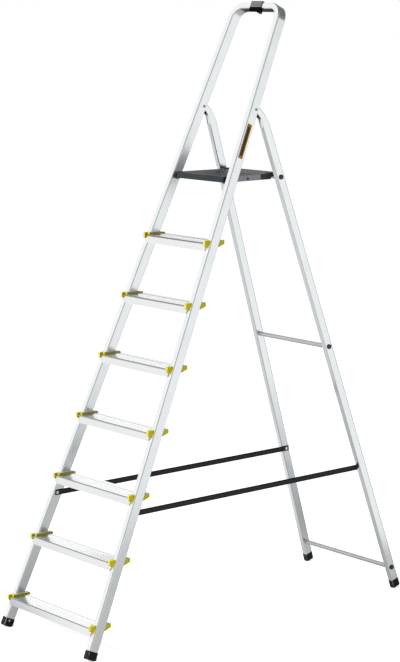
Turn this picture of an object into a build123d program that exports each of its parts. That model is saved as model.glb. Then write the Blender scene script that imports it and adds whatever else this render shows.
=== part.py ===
"""Single-sided platform stepladder: a bent tube hoop with seven treads, a clip-on platform and rear legs.

Millimetres and degrees. +Z is up, the climbing side faces -Y, and the origin lies on the floor in the
middle of the footprint.
"""
import os
from math import cos, radians, sin, tan

from build123d import *

os.makedirs("parts", exist_ok=True)

# Treads, from the floor up
tread_count = 7
tread_rise = 210.0
first_tread_height = 111.0
tread_front_reach = 19.7
tread_rear_reach = 65.0
tread_plate = 2.4
tread_nose = 5.0
tread_skirt_drop = 30.0
tread_rear_drop = 22.0
tread_skirt = 1.8
tread_skirt_reach = 16.0
tread_lap = 8.5
tread_stile_gap = 0.5
tread_rear_inset = 2.5
tread_groove_count = 6
tread_groove_width = 1.0
tread_groove_depth = 0.4
tread_groove_first = -11.0
tread_groove_pitch = 8.0
tread_step_inset = 22.0
tread_step_width = 2.5
tread_step_depth = 1.0

# Hoop of bent rectangular tube
base_width = 533.6
stile_lean = 23.9
stile_splay = 3.1
stile_width = 24.0
stile_depth = 38.0
stile_wall = 1.2
stile_corner = 5.0
stile_start = 26.5
bow_radius = 50.0
bow_above_pivot = 396.0

# Rear legs of bent rectangular tube
leg_lean = 17.95
leg_splay = 3.17
leg_depth = 32.0
leg_wall = 1.4
leg_corner = 3.0
leg_play = 0.55
leg_top_lean = 45.0
leg_top_reach = 13.0
leg_bend = 120.0
leg_offset = 25.2
leg_end_height = 17.0
leg_mouth_reach = 24.0
leg_mouth_drop = 36.0
leg_mouth_end = 96.0

# Leg pivots
pivot_above_axle = 242.0
pivot_from_rear = 12.0
pivot_pin_diameter = 6.0
pivot_head_diameter = 10.0
pivot_head_height = 1.6
pin_clearance = 0.05
slot_above = 16.0
slot_below = 60.0

# Cross tubes of the rear frame
axle_diameter = 14.0
bar_diameter = 16.0
bar_wall = 1.2
bar_proud = 0.6
bar_clearance = 0.1
middle_bar_height = 951.0
lower_bar_height = 83.0
plug_head_diameter = 18.0
plug_head_height = 3.0
plug_depth = 14.0

# Tread end caps
cap_top = 7.0
cap_drop = 18.5
cap_end_drop = 10.0
cap_web = 4.5
cap_socket = 3.0
cap_front_cover = 1.5
cap_bridge = 8.0
cap_lip_past = 2.5
cap_tab_top = 4.0
cap_tab_past = 0.5
cap_tab_lap = 2.0
cap_outer_margin = 7.0
cap_clearance = 0.1
cap_round = 2.0
tread_rivet_diameter = 4.8
tread_rivet_head = 9.0
tread_rivet_head_height = 1.3
tread_rivet_drop = 8.5
tread_rivet_spacing = 16.0
tread_rivet_tail = 3.0

# Feet
foot_wall = 1.6
foot_corner = 6.0
foot_round = 5.0
front_foot_low = 12.0
front_foot_top = 42.5
rear_foot_length = 31.5
rear_foot_lap = 17.0
foot_plug = 30.0
foot_clearance = 0.15
foot_rivet_diameter = 4.0
foot_rivet_head = 7.5
foot_rivet_height = 1.2
foot_rivet_drop = 8.0
foot_rivet_forward = 5.0

# Platform
tray_thickness = 21.0
axle_above_tread = 208.5
tray_above_axle = 12.0
tray_front_reach = 10.0
tray_behind_axle = 37.0
tray_plate = 3.0
tray_wall = 3.0
tray_side_gap = 5.0
tray_corner = 9.0
tray_rib = 2.0
tray_rib_count = 3
tray_groove_count = 15
tray_groove_pitch = 16.0
tray_groove_width = 5.0
tray_groove_depth = 1.0
tray_groove_margin = 40.0
hinge_depth = 11.0
hinge_pin_diameter = 8.0
hinge_pin_hold = 24.0
hinge_pin_short = 1.0
hinge_boss_diameter = 17.0
bush_flange_diameter = 20.0
bush_spigot_diameter = 14.0
bush_spigot = 8.0
bush_gap = 0.4

# Platform hooks
hook_width = 18.0
hook_front_reach = 67.0
hook_rear_reach = 26.0
hook_hump = 3.5
hook_hump_half = 26.0
hook_clearance = 0.4
hook_seam = 0.15
hook_mouth_front = 42.0
hook_mouth_rear = 8.0
hook_arm = 76.0
hook_arm_thickness = 6.0
hook_arm_height = 12.0
hook_screw_reach = 129.0
hook_screw_drop = -1.0
hook_screw_diameter = 4.0
hook_screw_head = 8.0
hook_screw_head_height = 1.8

# Limit straps
strap_tread_count = 3
strap_below_tread = 63.0
strap_rear_rise = 14.0
strap_width = 20.0
strap_thickness = 1.6
strap_tail = 13.0
strap_forward = 6.0
strap_gap = 1.0
strap_clearance = 0.15
strap_rivet_diameter = 5.0
strap_rivet_head = 8.0
strap_rivet_head_height = 1.6
strap_washer_diameter = 12.0
strap_washer = 1.0
strap_rivet_tail = 3.0

# Bow clip, its hook and the side label
clip_length = 60.0
clip_wall = 3.0
clip_lip_drop = 9.0
clip_lip_depth = 12.0
clip_rear_reach = 9.0
clip_clearance = 0.1
clip_hook_width = 11.0
clip_hook_depth = 16.0
clip_hook_drop = 11.0
clip_hook_wall = 3.5
clip_hook_right = 6.0
label_length = 128.0
label_width = 20.0
label_forward = 2.0
label_thickness = 0.3
label_below_pivot = 59.0

# Angles and levels worked out from the driving sizes
lean_sin = sin(radians(stile_lean))
lean_cos = cos(radians(stile_lean))
lean_tan = tan(radians(stile_lean))
splay_tan = tan(radians(stile_splay))
splay_cos = cos(radians(stile_splay))
splay_sin = sin(radians(stile_splay))
leg_lean_tan = tan(radians(leg_lean))
leg_lean_cos = cos(radians(leg_lean))
leg_lean_sin = sin(radians(leg_lean))
leg_splay_tan = tan(radians(leg_splay))
leg_splay_cos = cos(radians(leg_splay))
leg_splay_sin = sin(radians(leg_splay))

tread_heights = [first_tread_height + number * tread_rise for number in range(tread_count)]
axle_height = tread_heights[-1] + axle_above_tread
pivot_height = axle_height + pivot_above_axle
pivot_depth = stile_depth - pivot_from_rear
pivot_along = (pivot_height + pivot_depth * lean_sin) / lean_cos
hoop_length = pivot_along + bow_above_pivot
leg_width = stile_width - 2 * stile_wall - 2 * leg_play
stile_inside = stile_width - 2 * stile_wall

pivot_reach = pivot_along * lean_sin + pivot_depth * lean_cos
leg_fall = (pivot_height - leg_end_height) * leg_lean_tan / leg_splay_cos
leg_end_reach = pivot_reach + leg_offset / leg_lean_cos + leg_fall
rear_toe = leg_depth / 2 + foot_wall - foot_round
rear_heel = rear_foot_length - rear_foot_lap - foot_round
foot_rear_reach = leg_end_reach + rear_toe * leg_lean_cos + rear_heel * leg_lean_sin + foot_round
front_toe = front_foot_low + foot_round
foot_front_reach = front_toe * lean_sin + (foot_round - foot_wall) * lean_cos - foot_round
front_y = -(foot_front_reach + foot_rear_reach) / 2
pivot_y = front_y + pivot_reach

hinge_height = axle_height
hinge_along = (hinge_height + hinge_depth * lean_sin) / lean_cos
hinge_y = front_y + hinge_along * lean_sin + hinge_depth * lean_cos
stile_base = base_width / 2 - stile_width / 2 / splay_cos

sides = {"left": -1, "right": 1}


def stile_half(along):
    """Half the spacing of the stile centrelines at a distance up the slope."""
    return stile_base - along * splay_tan


def inner_half(along):
    """Half the clear width between the stiles at a distance up the slope."""
    return stile_half(along) - stile_width / 2 / splay_cos


def outer_half(along):
    """Half the width over the stiles at a distance up the slope."""
    return stile_half(along) + stile_width / 2 / splay_cos


def slope_along(height, depth):
    """Distance up the slope of a point at a height and at a depth behind the front face."""
    return (height + depth * lean_sin) / lean_cos


def slope_y(along, depth):
    """Y of a point at a distance up the slope and at a depth behind the front face."""
    return front_y + along * lean_sin + depth * lean_cos


def leg_y(height):
    """Y of the straight leg centreline at a height."""
    return pivot_y + leg_offset / leg_lean_cos + (pivot_height - height) * leg_lean_tan / leg_splay_cos


def leg_half(height):
    """Half the spacing of the leg centrelines at a height."""
    return stile_half(pivot_along) + (pivot_height - height) * leg_splay_tan


def stile_plane(side):
    """Plane on a stile's centreline: X across, Y up the stile, Z out of its front face."""
    origin = front_plane.from_local_coords(Vector(side * stile_base, 0, -stile_depth / 2))
    across = (splay_cos, side * splay_sin * lean_sin, side * splay_sin * lean_cos)
    return Plane(origin, across, front_plane.z_dir)


def stile_section(side, along):
    """Plane square to a stile at a distance up it: X across, Y to the rear."""
    plane = stile_plane(side)
    return Plane(plane.from_local_coords(Vector(0, along / splay_cos, 0)), plane.x_dir, plane.y_dir)


def leg_plane(side):
    """Plane of a leg's bent centreline through its pivot: X to the rear, Y up the leg."""
    origin = (side * stile_half(pivot_along), pivot_y, pivot_height)
    return Plane(origin, (0, 1, 0), (leg_splay_cos, 0, side * leg_splay_sin))


def cross_plane(x, y, z):
    """Plane square to X at a point, for bores and pins that run across the ladder."""
    return Plane((x, y, z), (0, 1, 0), (1, 0, 0))


front_plane = Plane((0, front_y, 0), (1, 0, 0), (0, -lean_cos, lean_sin))
hoop_plane = front_plane.offset(-stile_depth / 2)
foot_rivet_place = (front_foot_top - foot_rivet_drop, foot_rivet_forward)
strap_front_height = tread_heights[strap_tread_count - 1] - strap_below_tread
strap_rear_height = strap_front_height + strap_rear_rise
strap_front_depth = stile_depth / 2 - strap_forward
strap_front_along = slope_along(strap_front_height, strap_front_depth)
strap_front_y = slope_y(strap_front_along, strap_front_depth)

# Hoop: both stiles and the handrail bow, one tube bent twice
bow_along = hoop_length - stile_width / 2
bow_half = stile_half(bow_along)
with BuildLine(hoop_plane) as hoop_path:
    FilletPolyline(
        (stile_half(stile_start), stile_start),
        (bow_half, bow_along),
        (-bow_half, bow_along),
        (-stile_half(stile_start), stile_start),
        radius=bow_radius,
    )
with BuildPart() as front_hoop:
    with BuildSketch(stile_section(1, stile_start)):
        RectangleRounded(stile_width, stile_depth, stile_corner)
    sweep(path=hoop_path.wires()[0])
    with BuildSketch(stile_section(1, stile_start)):
        RectangleRounded(stile_inside, stile_depth - 2 * stile_wall, stile_corner - stile_wall)
    sweep(path=hoop_path.wires()[0], mode=Mode.SUBTRACT)
    # Slots in the rear walls for the leg ends
    for side in sides.values():
        slot_middle = pivot_along + (slot_above - slot_below) / 2
        rear_wall = stile_plane(side).offset(-stile_depth / 2)
        with BuildSketch(rear_wall):
            with Locations((0, slot_middle / splay_cos)):
                Rectangle(stile_inside, slot_above + slot_below)
        extrude(amount=stile_corner, both=True, mode=Mode.SUBTRACT)
    # Bores for the leg pivots
    with BuildSketch(cross_plane(0, pivot_y, pivot_height)):
        Circle(pivot_pin_diameter / 2)
    extrude(amount=base_width / 2, both=True, mode=Mode.SUBTRACT)
    # Bores in the inner walls for the platform bushes and the strap rivets
    for side in sides.values():
        with BuildSketch(cross_plane(side * inner_half(hinge_along), hinge_y, hinge_height)):
            Circle(bush_spigot_diameter / 2)
        extrude(amount=stile_corner, both=True, mode=Mode.SUBTRACT)
        strap_wall = side * inner_half(strap_front_along)
        with BuildSketch(cross_plane(strap_wall, strap_front_y, strap_front_height)):
            Circle(strap_rivet_diameter / 2)
        extrude(amount=stile_corner, both=True, mode=Mode.SUBTRACT)
    # Bores in the inner walls for the tread rivets
    for height in tread_heights:
        rivet_height = height - tread_rivet_drop
        rivet_along = slope_along(rivet_height, stile_depth / 2)
        rivet_y = slope_y(rivet_along, stile_depth / 2)
        for side in sides.values():
            with BuildSketch(cross_plane(side * inner_half(rivet_along), rivet_y, rivet_height)):
                with GridLocations(tread_rivet_spacing, 0, 2, 1):
                    Circle(tread_rivet_diameter / 2)
            extrude(amount=stile_corner, both=True, mode=Mode.SUBTRACT)
    # Bores in the inner walls for the foot rivets
    for side in sides.values():
        rivet_plane = stile_plane(side)
        with BuildSketch(Plane(rivet_plane.origin, rivet_plane.y_dir, rivet_plane.x_dir)):
            with Locations(foot_rivet_place):
                Circle(foot_rivet_diameter / 2)
        extrude(amount=-side * stile_width, mode=Mode.SUBTRACT)
front_hoop.part.label = "front_hoop"
export_step(front_hoop.part, "parts/front_hoop.step")


def tread_points(height, grow):
    """Points of a tread's side outline between the stiles at a height, grown by a clearance."""
    face_y = slope_y(slope_along(height, 0), 0)
    nose = face_y - tread_front_reach
    tail = face_y + tread_rear_reach
    skirt_front = face_y - tread_skirt_reach
    skirt_rear = face_y + stile_depth / lean_cos - tread_rear_inset
    low_plate = height - tread_plate - grow
    low_nose = height - tread_nose - grow
    low_skirt = height - tread_skirt_drop - grow
    low_rear = height - tread_rear_drop - grow
    return [
        (nose - grow, height + grow),
        (tail + grow, height + grow),
        (tail + grow, low_nose),
        (tail - tread_skirt - grow, low_nose),
        (tail - tread_skirt - grow, low_plate),
        (skirt_rear + grow, low_plate),
        (skirt_rear + grow, low_rear),
        (skirt_rear - tread_skirt - grow, low_rear),
        (skirt_rear - tread_skirt - grow, low_plate),
        (skirt_front + tread_skirt + grow, low_plate),
        (skirt_front + tread_skirt + grow, low_skirt),
        (skirt_front - grow, low_skirt),
        (skirt_front - grow, low_nose),
        (nose - grow, low_nose),
    ]


def tread_front_points(height, grow):
    """Points of a tread's nose and skirt, which pass in front of the stiles, grown by a clearance."""
    face_y = slope_y(slope_along(height, 0), 0)
    nose = face_y - tread_front_reach
    notch = face_y - tread_plate * lean_tan - tread_stile_gap / lean_cos
    skirt_front = face_y - tread_skirt_reach
    low_plate = height - tread_plate - grow
    low_nose = height - tread_nose - grow
    low_skirt = height - tread_skirt_drop - grow
    return [
        (nose - grow, height + grow),
        (notch + grow, height + grow),
        (notch + grow, low_plate),
        (skirt_front + tread_skirt + grow, low_plate),
        (skirt_front + tread_skirt + grow, low_skirt),
        (skirt_front - grow, low_skirt),
        (skirt_front - grow, low_nose),
        (nose - grow, low_nose),
    ]


# Treads: ribbed extrusions, notched so that nose and skirt lap over the stiles' front faces
nose_round = tread_nose - tread_skirt
for number, height in enumerate(tread_heights, start=1):
    face_y = slope_y(slope_along(height, 0), 0)
    tread_half = inner_half(slope_along(height, 0)) - cap_web + cap_socket
    front_half = inner_half(slope_along(height, 0)) + tread_lap
    with BuildPart() as tread:
        with BuildSketch(Plane.YZ):
            with BuildLine():
                Polyline(tread_points(height, 0), close=True)
            make_face()
        extrude(amount=tread_half, both=True)
        with BuildSketch(Plane.YZ):
            with BuildLine():
                Polyline(tread_front_points(height, 0), close=True)
            make_face()
        extrude(amount=front_half, both=True)
        nose_edges = tread.edges().filter_by(Axis.X).group_by(Axis.Y)[0]
        fillet(nose_edges.sort_by(Axis.Z)[0], tread_skirt / 2)
        nose_edges = tread.edges().filter_by(Axis.X).group_by(Axis.Y)[0]
        fillet(nose_edges.sort_by(Axis.Z)[-1], nose_round)
        # Fine grooves for grip and one deep groove near the rear edge
        with BuildSketch(Plane.YZ):
            for groove in range(tread_groove_count):
                groove_y = face_y + tread_groove_first + groove * tread_groove_pitch
                with Locations((groove_y, height - tread_groove_depth / 2)):
                    Rectangle(tread_groove_width, tread_groove_depth)
            step_y = face_y + tread_rear_reach - tread_step_inset
            with Locations((step_y, height - tread_step_depth / 2)):
                Rectangle(tread_step_width, tread_step_depth)
        extrude(amount=front_half, both=True, mode=Mode.SUBTRACT)
    tread.part.label = f"tread_{number}"
    export_step(tread.part, f"parts/tread_{number}.step")

# End caps: each wraps its stile's front and rear faces and holds a tread's end
for number, height in enumerate(tread_heights, start=1):
    along = slope_along(height, 0)
    face_y = slope_y(along, 0)
    nose = face_y - tread_front_reach - cap_front_cover
    bridge = face_y - cap_bridge
    belly_front = face_y - cap_drop * lean_tan
    belly_rear = face_y + stile_depth / lean_cos
    lip_rear = belly_rear + cap_lip_past
    tab_rear = face_y + tread_rear_reach + cap_tab_past
    tread_half = inner_half(along) - cap_web + cap_socket
    front_half = inner_half(along) + tread_lap
    for name, side in sides.items():
        cap_inner = inner_half(along) - cap_web
        cap_outer = outer_half(along) - cap_outer_margin
        tab_inner = inner_half(along) - cap_tab_lap
        block_inner = front_half - cap_socket
        with BuildPart() as cap:
            # Web beside the stile, with a bridge over the tread and a lip behind the stile
            with BuildSketch(Plane.YZ.offset(side * cap_inner)) as cap_side:
                with BuildLine():
                    Polyline(
                        (bridge, height + cap_top),
                        (lip_rear, height + cap_top),
                        (lip_rear, height - cap_drop),
                        (bridge, height - cap_drop),
                        close=True,
                    )
                make_face()
                fillet(cap_side.vertices(), cap_round)
            extrude(amount=side * (cap_outer - cap_inner))
            # Block in front of the stile, over the tread's end
            with BuildSketch(Plane.YZ.offset(side * block_inner)) as cap_block:
                with BuildLine():
                    Polyline(
                        (nose, height + cap_top),
                        (face_y, height + cap_top),
                        (face_y, height - cap_drop),
                        (belly_front, height - cap_drop),
                        (nose, height - cap_end_drop),
                        close=True,
                    )
                make_face()
                fillet(cap_block.vertices(), cap_round)
            extrude(amount=side * (cap_outer - block_inner))
            # Tab behind the stile
            with BuildSketch(Plane.YZ.offset(side * tab_inner)) as cap_tab:
                with BuildLine():
                    Polyline(
                        (belly_rear, height + cap_tab_top),
                        (tab_rear, height + cap_tab_top),
                        (tab_rear, height - cap_end_drop),
                        (belly_rear, height - cap_drop),
                        close=True,
                    )
                make_face()
                fillet(cap_tab.vertices().group_by(Axis.X)[-1], cap_round)
            extrude(amount=side * (cap_outer - tab_inner))
            # Channel for the stile
            with BuildSketch(stile_section(side, along - stile_depth)):
                RectangleRounded(
                    stile_width + 2 * cap_clearance,
                    stile_depth + 2 * cap_clearance,
                    stile_corner + cap_clearance,
                )
            extrude(amount=2 * stile_depth, mode=Mode.SUBTRACT)
            # Sockets for the tread's end, beside and in front of the stile
            with BuildSketch(Plane.YZ):
                with BuildLine():
                    Polyline(tread_points(height, cap_clearance), close=True)
                make_face()
            extrude(amount=tread_half + cap_clearance, both=True, mode=Mode.SUBTRACT)
            with BuildSketch(Plane.YZ):
                with BuildLine():
                    Polyline(tread_front_points(height, cap_clearance), close=True)
                make_face()
            extrude(amount=front_half + cap_clearance, both=True, mode=Mode.SUBTRACT)
            # Bores for the rivets
            rivet_along = slope_along(height - tread_rivet_drop, stile_depth / 2)
            rivet_y = slope_y(rivet_along, stile_depth / 2)
            with BuildSketch(cross_plane(side * cap_inner, rivet_y, height - tread_rivet_drop)):
                with GridLocations(tread_rivet_spacing, 0, 2, 1):
                    Circle(tread_rivet_diameter / 2)
            extrude(amount=side * stile_width, mode=Mode.SUBTRACT)
        cap.part.label = f"tread_cap_{name}_{number}"
        export_step(cap.part, f"parts/tread_cap_{name}_{number}.step")

# Blind rivets that hold the caps to the inner walls of the stiles, headed under the treads
with BuildPart() as tread_rivets:
    for height in tread_heights:
        rivet_height = height - tread_rivet_drop
        rivet_along = slope_along(rivet_height, stile_depth / 2)
        rivet_y = slope_y(rivet_along, stile_depth / 2)
        cap_inner = inner_half(slope_along(height, 0)) - cap_web
        shank = inner_half(rivet_along) - cap_inner + stile_wall + tread_rivet_tail
        for side in sides.values():
            head_plane = cross_plane(side * cap_inner, rivet_y, rivet_height)
            with BuildSketch(head_plane):
                with GridLocations(tread_rivet_spacing, 0, 2, 1):
                    Circle(tread_rivet_diameter / 2)
            extrude(amount=side * shank)
            with BuildSketch(head_plane):
                with GridLocations(tread_rivet_spacing, 0, 2, 1):
                    Circle(tread_rivet_head / 2)
            extrude(amount=-side * tread_rivet_head_height)
tread_rivets.part.label = "tread_rivets"
export_step(tread_rivets.part, "parts/tread_rivets.step")

# Front feet: moulded caps, square to the stiles, with a rounded end and a plug inside the tube
floor_size = 2 * base_width
for name, side in sides.items():
    section = stile_section(side, stile_start)
    with BuildPart() as foot:
        with BuildSketch(stile_section(side, front_foot_low)):
            RectangleRounded(stile_width + 2 * foot_wall, stile_depth + 2 * foot_wall, foot_corner)
        extrude(amount=(front_foot_top - front_foot_low) / splay_cos)
        fillet(foot.faces().sort_by(Axis(section.origin, section.z_dir))[0].edges(), foot_round)
        with BuildSketch(section):
            RectangleRounded(
                stile_width + 2 * foot_clearance,
                stile_depth + 2 * foot_clearance,
                stile_corner + foot_clearance,
            )
        extrude(amount=front_foot_top, mode=Mode.SUBTRACT)
        with BuildSketch(section):
            RectangleRounded(
                stile_inside - 2 * foot_clearance,
                stile_depth - 2 * stile_wall - 2 * foot_clearance,
                stile_corner - stile_wall - foot_clearance,
            )
        extrude(amount=foot_plug)
        with BuildSketch(Plane.XY):
            with Locations((side * stile_base, front_y)):
                Rectangle(floor_size, floor_size)
        extrude(amount=-floor_size, mode=Mode.SUBTRACT)
        rivet_plane = stile_plane(side)
        with BuildSketch(Plane(rivet_plane.origin, rivet_plane.y_dir, rivet_plane.x_dir)):
            with Locations(foot_rivet_place):
                Circle(foot_rivet_diameter / 2)
        extrude(amount=-side * stile_width, mode=Mode.SUBTRACT)
    foot.part.label = f"front_foot_{name}"
    export_step(foot.part, f"parts/front_foot_{name}.step")

with BuildPart() as front_foot_rivets:
    for side in sides.values():
        rivet_plane = stile_plane(side)
        inner_face = Plane(rivet_plane.origin, rivet_plane.y_dir, rivet_plane.x_dir)
        head_plane = inner_face.offset(-side * (stile_width / 2 + foot_wall))
        with BuildSketch(head_plane):
            with Locations(foot_rivet_place):
                Circle(foot_rivet_head / 2)
        extrude(amount=-side * foot_rivet_height)
        with BuildSketch(head_plane):
            with Locations(foot_rivet_place):
                Circle(foot_rivet_diameter / 2)
        extrude(amount=side * (stile_width / 2 + foot_wall))
front_foot_rivets.part.label = "front_foot_rivets"
export_step(front_foot_rivets.part, "parts/front_foot_rivets.step")

# Clip over the front and top of the bow, with a lip below the tube, and the tool hook behind it
bow_section = Plane(
    hoop_plane.from_local_coords(Vector(0, bow_along, 0)), hoop_plane.y_dir, (1, 0, 0)
)
clip_front = stile_depth / 2 + clip_wall
clip_rise = stile_width / 2 + clip_wall
clip_rear_low = stile_width / 2 - clip_rear_reach
clip_low = -stile_width / 2 - clip_lip_drop
with BuildPart() as bow_clip:
    with BuildSketch(bow_section) as clip_section:
        with BuildLine():
            Polyline(
                (clip_rise, clip_front),
                (clip_rise, -clip_front),
                (clip_rear_low, -clip_front),
                (clip_rear_low, clip_front - clip_lip_depth),
                (clip_low, clip_front - clip_lip_depth),
                (clip_low, clip_front),
                close=True,
            )
        make_face()
        fillet(clip_section.vertices(), clip_wall / 2)
        RectangleRounded(
            stile_width + 2 * clip_clearance,
            stile_depth + 2 * clip_clearance,
            stile_corner + clip_clearance,
            mode=Mode.SUBTRACT,
        )
    extrude(amount=clip_length / 2, both=True)
bow_clip.part.label = "bow_clip"
export_step(bow_clip.part, "parts/bow_clip.step")

with BuildPart() as clip_hook:
    hook_top = -stile_width / 2
    hook_end = hook_top - clip_hook_drop
    half_depth = clip_hook_depth / 2
    with BuildSketch(bow_section.offset(clip_hook_right)):
        with BuildLine():
            Polyline(
                (hook_top, -half_depth),
                (hook_end, -half_depth),
                (hook_end, half_depth),
                (hook_end + 2 * clip_hook_wall, half_depth),
                (hook_end + 2 * clip_hook_wall, half_depth - clip_hook_wall),
                (hook_end + clip_hook_wall, half_depth - clip_hook_wall),
                (hook_end + clip_hook_wall, clip_hook_wall - half_depth),
                (hook_top, clip_hook_wall - half_depth),
                close=True,
            )
        make_face()
    extrude(amount=clip_hook_width / 2, both=True)
clip_hook.part.label = "clip_hook"
export_step(clip_hook.part, "parts/clip_hook.step")

# Plain label on the outer face of the right stile
label_middle = pivot_along - label_below_pivot - label_length / 2
label_stile = stile_plane(1)
with BuildPart() as side_label:
    label_place = Vector(stile_width / 2, label_middle / splay_cos, label_forward)
    label_origin = label_stile.from_local_coords(label_place)
    with BuildSketch(Plane(label_origin, label_stile.y_dir, label_stile.x_dir)):
        RectangleRounded(label_length, label_width, label_width / 8)
    extrude(amount=label_thickness)
side_label.part.label = "side_label"
export_step(side_label.part, "parts/side_label.step")

# Pivot rivets of the legs, headed on both faces of each stile
for name, side in sides.items():
    head_rise = pivot_head_diameter / 2 * splay_tan
    rivet_inner = inner_half(pivot_along) - head_rise
    rivet_outer = outer_half(pivot_along) + head_rise
    with BuildPart() as pivot_rivet:
        with BuildSketch(cross_plane(side * rivet_inner, pivot_y, pivot_height)):
            Circle(pivot_pin_diameter / 2)
        extrude(amount=side * (rivet_outer - rivet_inner))
        with BuildSketch(cross_plane(side * rivet_inner, pivot_y, pivot_height)):
            Circle(pivot_head_diameter / 2)
        extrude(amount=-side * pivot_head_height)
        with BuildSketch(cross_plane(side * rivet_outer, pivot_y, pivot_height)):
            Circle(pivot_head_diameter / 2)
        extrude(amount=side * pivot_head_height)
    pivot_rivet.part.label = f"pivot_rivet_{name}"
    export_step(pivot_rivet.part, f"parts/pivot_rivet_{name}.step")

# Rear legs: tubes bent once, with the upper end inside the stile
top_sin = sin(radians(leg_top_lean))
top_cos = cos(radians(leg_top_lean))
bend_reach = leg_offset / leg_lean_cos / (top_sin - top_cos * leg_lean_tan)
leg_drop = (pivot_height - leg_end_height) / leg_splay_cos
leg_foot_x = leg_offset / leg_lean_cos + leg_drop * leg_lean_tan
leg_mouth_start = (leg_offset - leg_depth / 2) / leg_lean_cos
bars = {
    "platform_axle": (axle_height, axle_diameter),
    "middle_bar": (middle_bar_height, bar_diameter),
    "lower_bar": (lower_bar_height, bar_diameter),
}
for name, side in sides.items():
    plane = leg_plane(side)
    with BuildLine(plane) as leg_path:
        FilletPolyline(
            (-leg_top_reach * top_sin, leg_top_reach * top_cos),
            (bend_reach * top_sin, -bend_reach * top_cos),
            (leg_foot_x, -leg_drop),
            radius=leg_bend,
        )
    path = leg_path.wires()[0]
    section = Plane(path @ 0, plane.z_dir, path % 0)
    with BuildPart() as leg:
        with BuildSketch(section):
            RectangleRounded(leg_width, leg_depth, leg_corner)
        sweep(path=path)
        with BuildSketch(section):
            RectangleRounded(leg_width - 2 * leg_wall, leg_depth - 2 * leg_wall, leg_corner - leg_wall)
        sweep(path=path, mode=Mode.SUBTRACT)
        # Front of the upper end cut away, so that it folds into the stile
        with BuildSketch(cross_plane(0, pivot_y, pivot_height)):
            with BuildLine():
                Polyline(
                    (-leg_depth, 0),
                    (-pivot_head_diameter / 2, 0),
                    (leg_mouth_reach, -leg_mouth_drop),
                    (leg_mouth_end * leg_lean_tan + leg_mouth_start, -leg_mouth_end),
                    (-leg_depth, -leg_mouth_end),
                    close=True,
                )
            make_face()
        extrude(amount=side * base_width, mode=Mode.SUBTRACT)
        with BuildSketch(cross_plane(0, pivot_y, pivot_height)):
            Circle(pivot_pin_diameter / 2 + pin_clearance)
        extrude(amount=side * base_width, mode=Mode.SUBTRACT)
        for bar_height, diameter in bars.values():
            with BuildSketch(cross_plane(0, leg_y(bar_height), bar_height)):
                Circle(diameter / 2 + bar_clearance)
            extrude(amount=side * base_width, mode=Mode.SUBTRACT)
        with BuildSketch(cross_plane(0, leg_y(strap_rear_height), strap_rear_height)):
            Circle(strap_rivet_diameter / 2)
        extrude(amount=side * leg_half(strap_rear_height), mode=Mode.SUBTRACT)
    leg.part.label = f"rear_leg_{name}"
    export_step(leg.part, f"parts/rear_leg_{name}.step")

# Cross tubes, which pass through both legs
for name, (height, diameter) in bars.items():
    bar_half = leg_half(height) + leg_width / 2 / leg_splay_cos + bar_proud
    with BuildPart() as bar:
        with BuildSketch(cross_plane(0, leg_y(height), height)):
            Circle(diameter / 2)
            Circle(diameter / 2 - bar_wall, mode=Mode.SUBTRACT)
        extrude(amount=bar_half, both=True)
    bar.part.label = name
    export_step(bar.part, f"parts/{name}.step")

# Plugs in the ends of the cross tubes
with BuildPart() as bar_plugs:
    for height, diameter in bars.values():
        bar_half = leg_half(height) + leg_width / 2 / leg_splay_cos + bar_proud
        for side in sides.values():
            head_plane = cross_plane(side * bar_half, leg_y(height), height)
            with BuildSketch(head_plane):
                Circle(diameter / 2 - bar_wall - bar_clearance)
            extrude(amount=-side * plug_depth)
            with BuildSketch(head_plane):
                Circle(plug_head_diameter / 2)
            extrude(amount=side * plug_head_height)
    outer_rims = bar_plugs.edges().filter_by(GeomType.CIRCLE).filter_by(
        lambda rim: abs(rim.radius - plug_head_diameter / 2) < bar_clearance
    )
    fillet(outer_rims.filter_by(lambda rim: abs(rim.center().X) > 0), plug_head_height / 3)
bar_plugs.part.label = "bar_plugs"
export_step(bar_plugs.part, "parts/bar_plugs.step")

# Rear feet
for name, side in sides.items():
    plane = leg_plane(side)
    end_point = plane.from_local_coords(Vector(leg_foot_x, -leg_drop, 0))
    up_leg = (plane.from_local_coords(Vector(0, 0, 0)) - plane.from_local_coords(
        Vector(leg_lean_tan, -1, 0)
    )).normalized()
    section = Plane(end_point, plane.z_dir, up_leg)
    with BuildPart() as foot:
        with BuildSketch(section.offset(rear_foot_lap - rear_foot_length)):
            RectangleRounded(leg_width + 2 * foot_wall, leg_depth + 2 * foot_wall, foot_corner)
        extrude(amount=rear_foot_length)
        fillet(foot.faces().sort_by(Axis(section.origin, section.z_dir))[0].edges(), foot_round)
        with BuildSketch(section):
            RectangleRounded(
                leg_width + 2 * foot_clearance,
                leg_depth + 2 * foot_clearance,
                leg_corner + foot_clearance,
            )
        extrude(amount=rear_foot_length, mode=Mode.SUBTRACT)
        with BuildSketch(section):
            RectangleRounded(
                leg_width - 2 * leg_wall - 2 * foot_clearance,
                leg_depth - 2 * leg_wall - 2 * foot_clearance,
                leg_corner - leg_wall - foot_clearance,
            )
        extrude(amount=foot_plug)
        with BuildSketch(Plane.XY):
            with Locations((end_point.X, end_point.Y)):
                Rectangle(floor_size, floor_size)
        extrude(amount=-floor_size, mode=Mode.SUBTRACT)
    foot.part.label = f"rear_foot_{name}"
    export_step(foot.part, f"parts/rear_foot_{name}.step")

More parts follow.
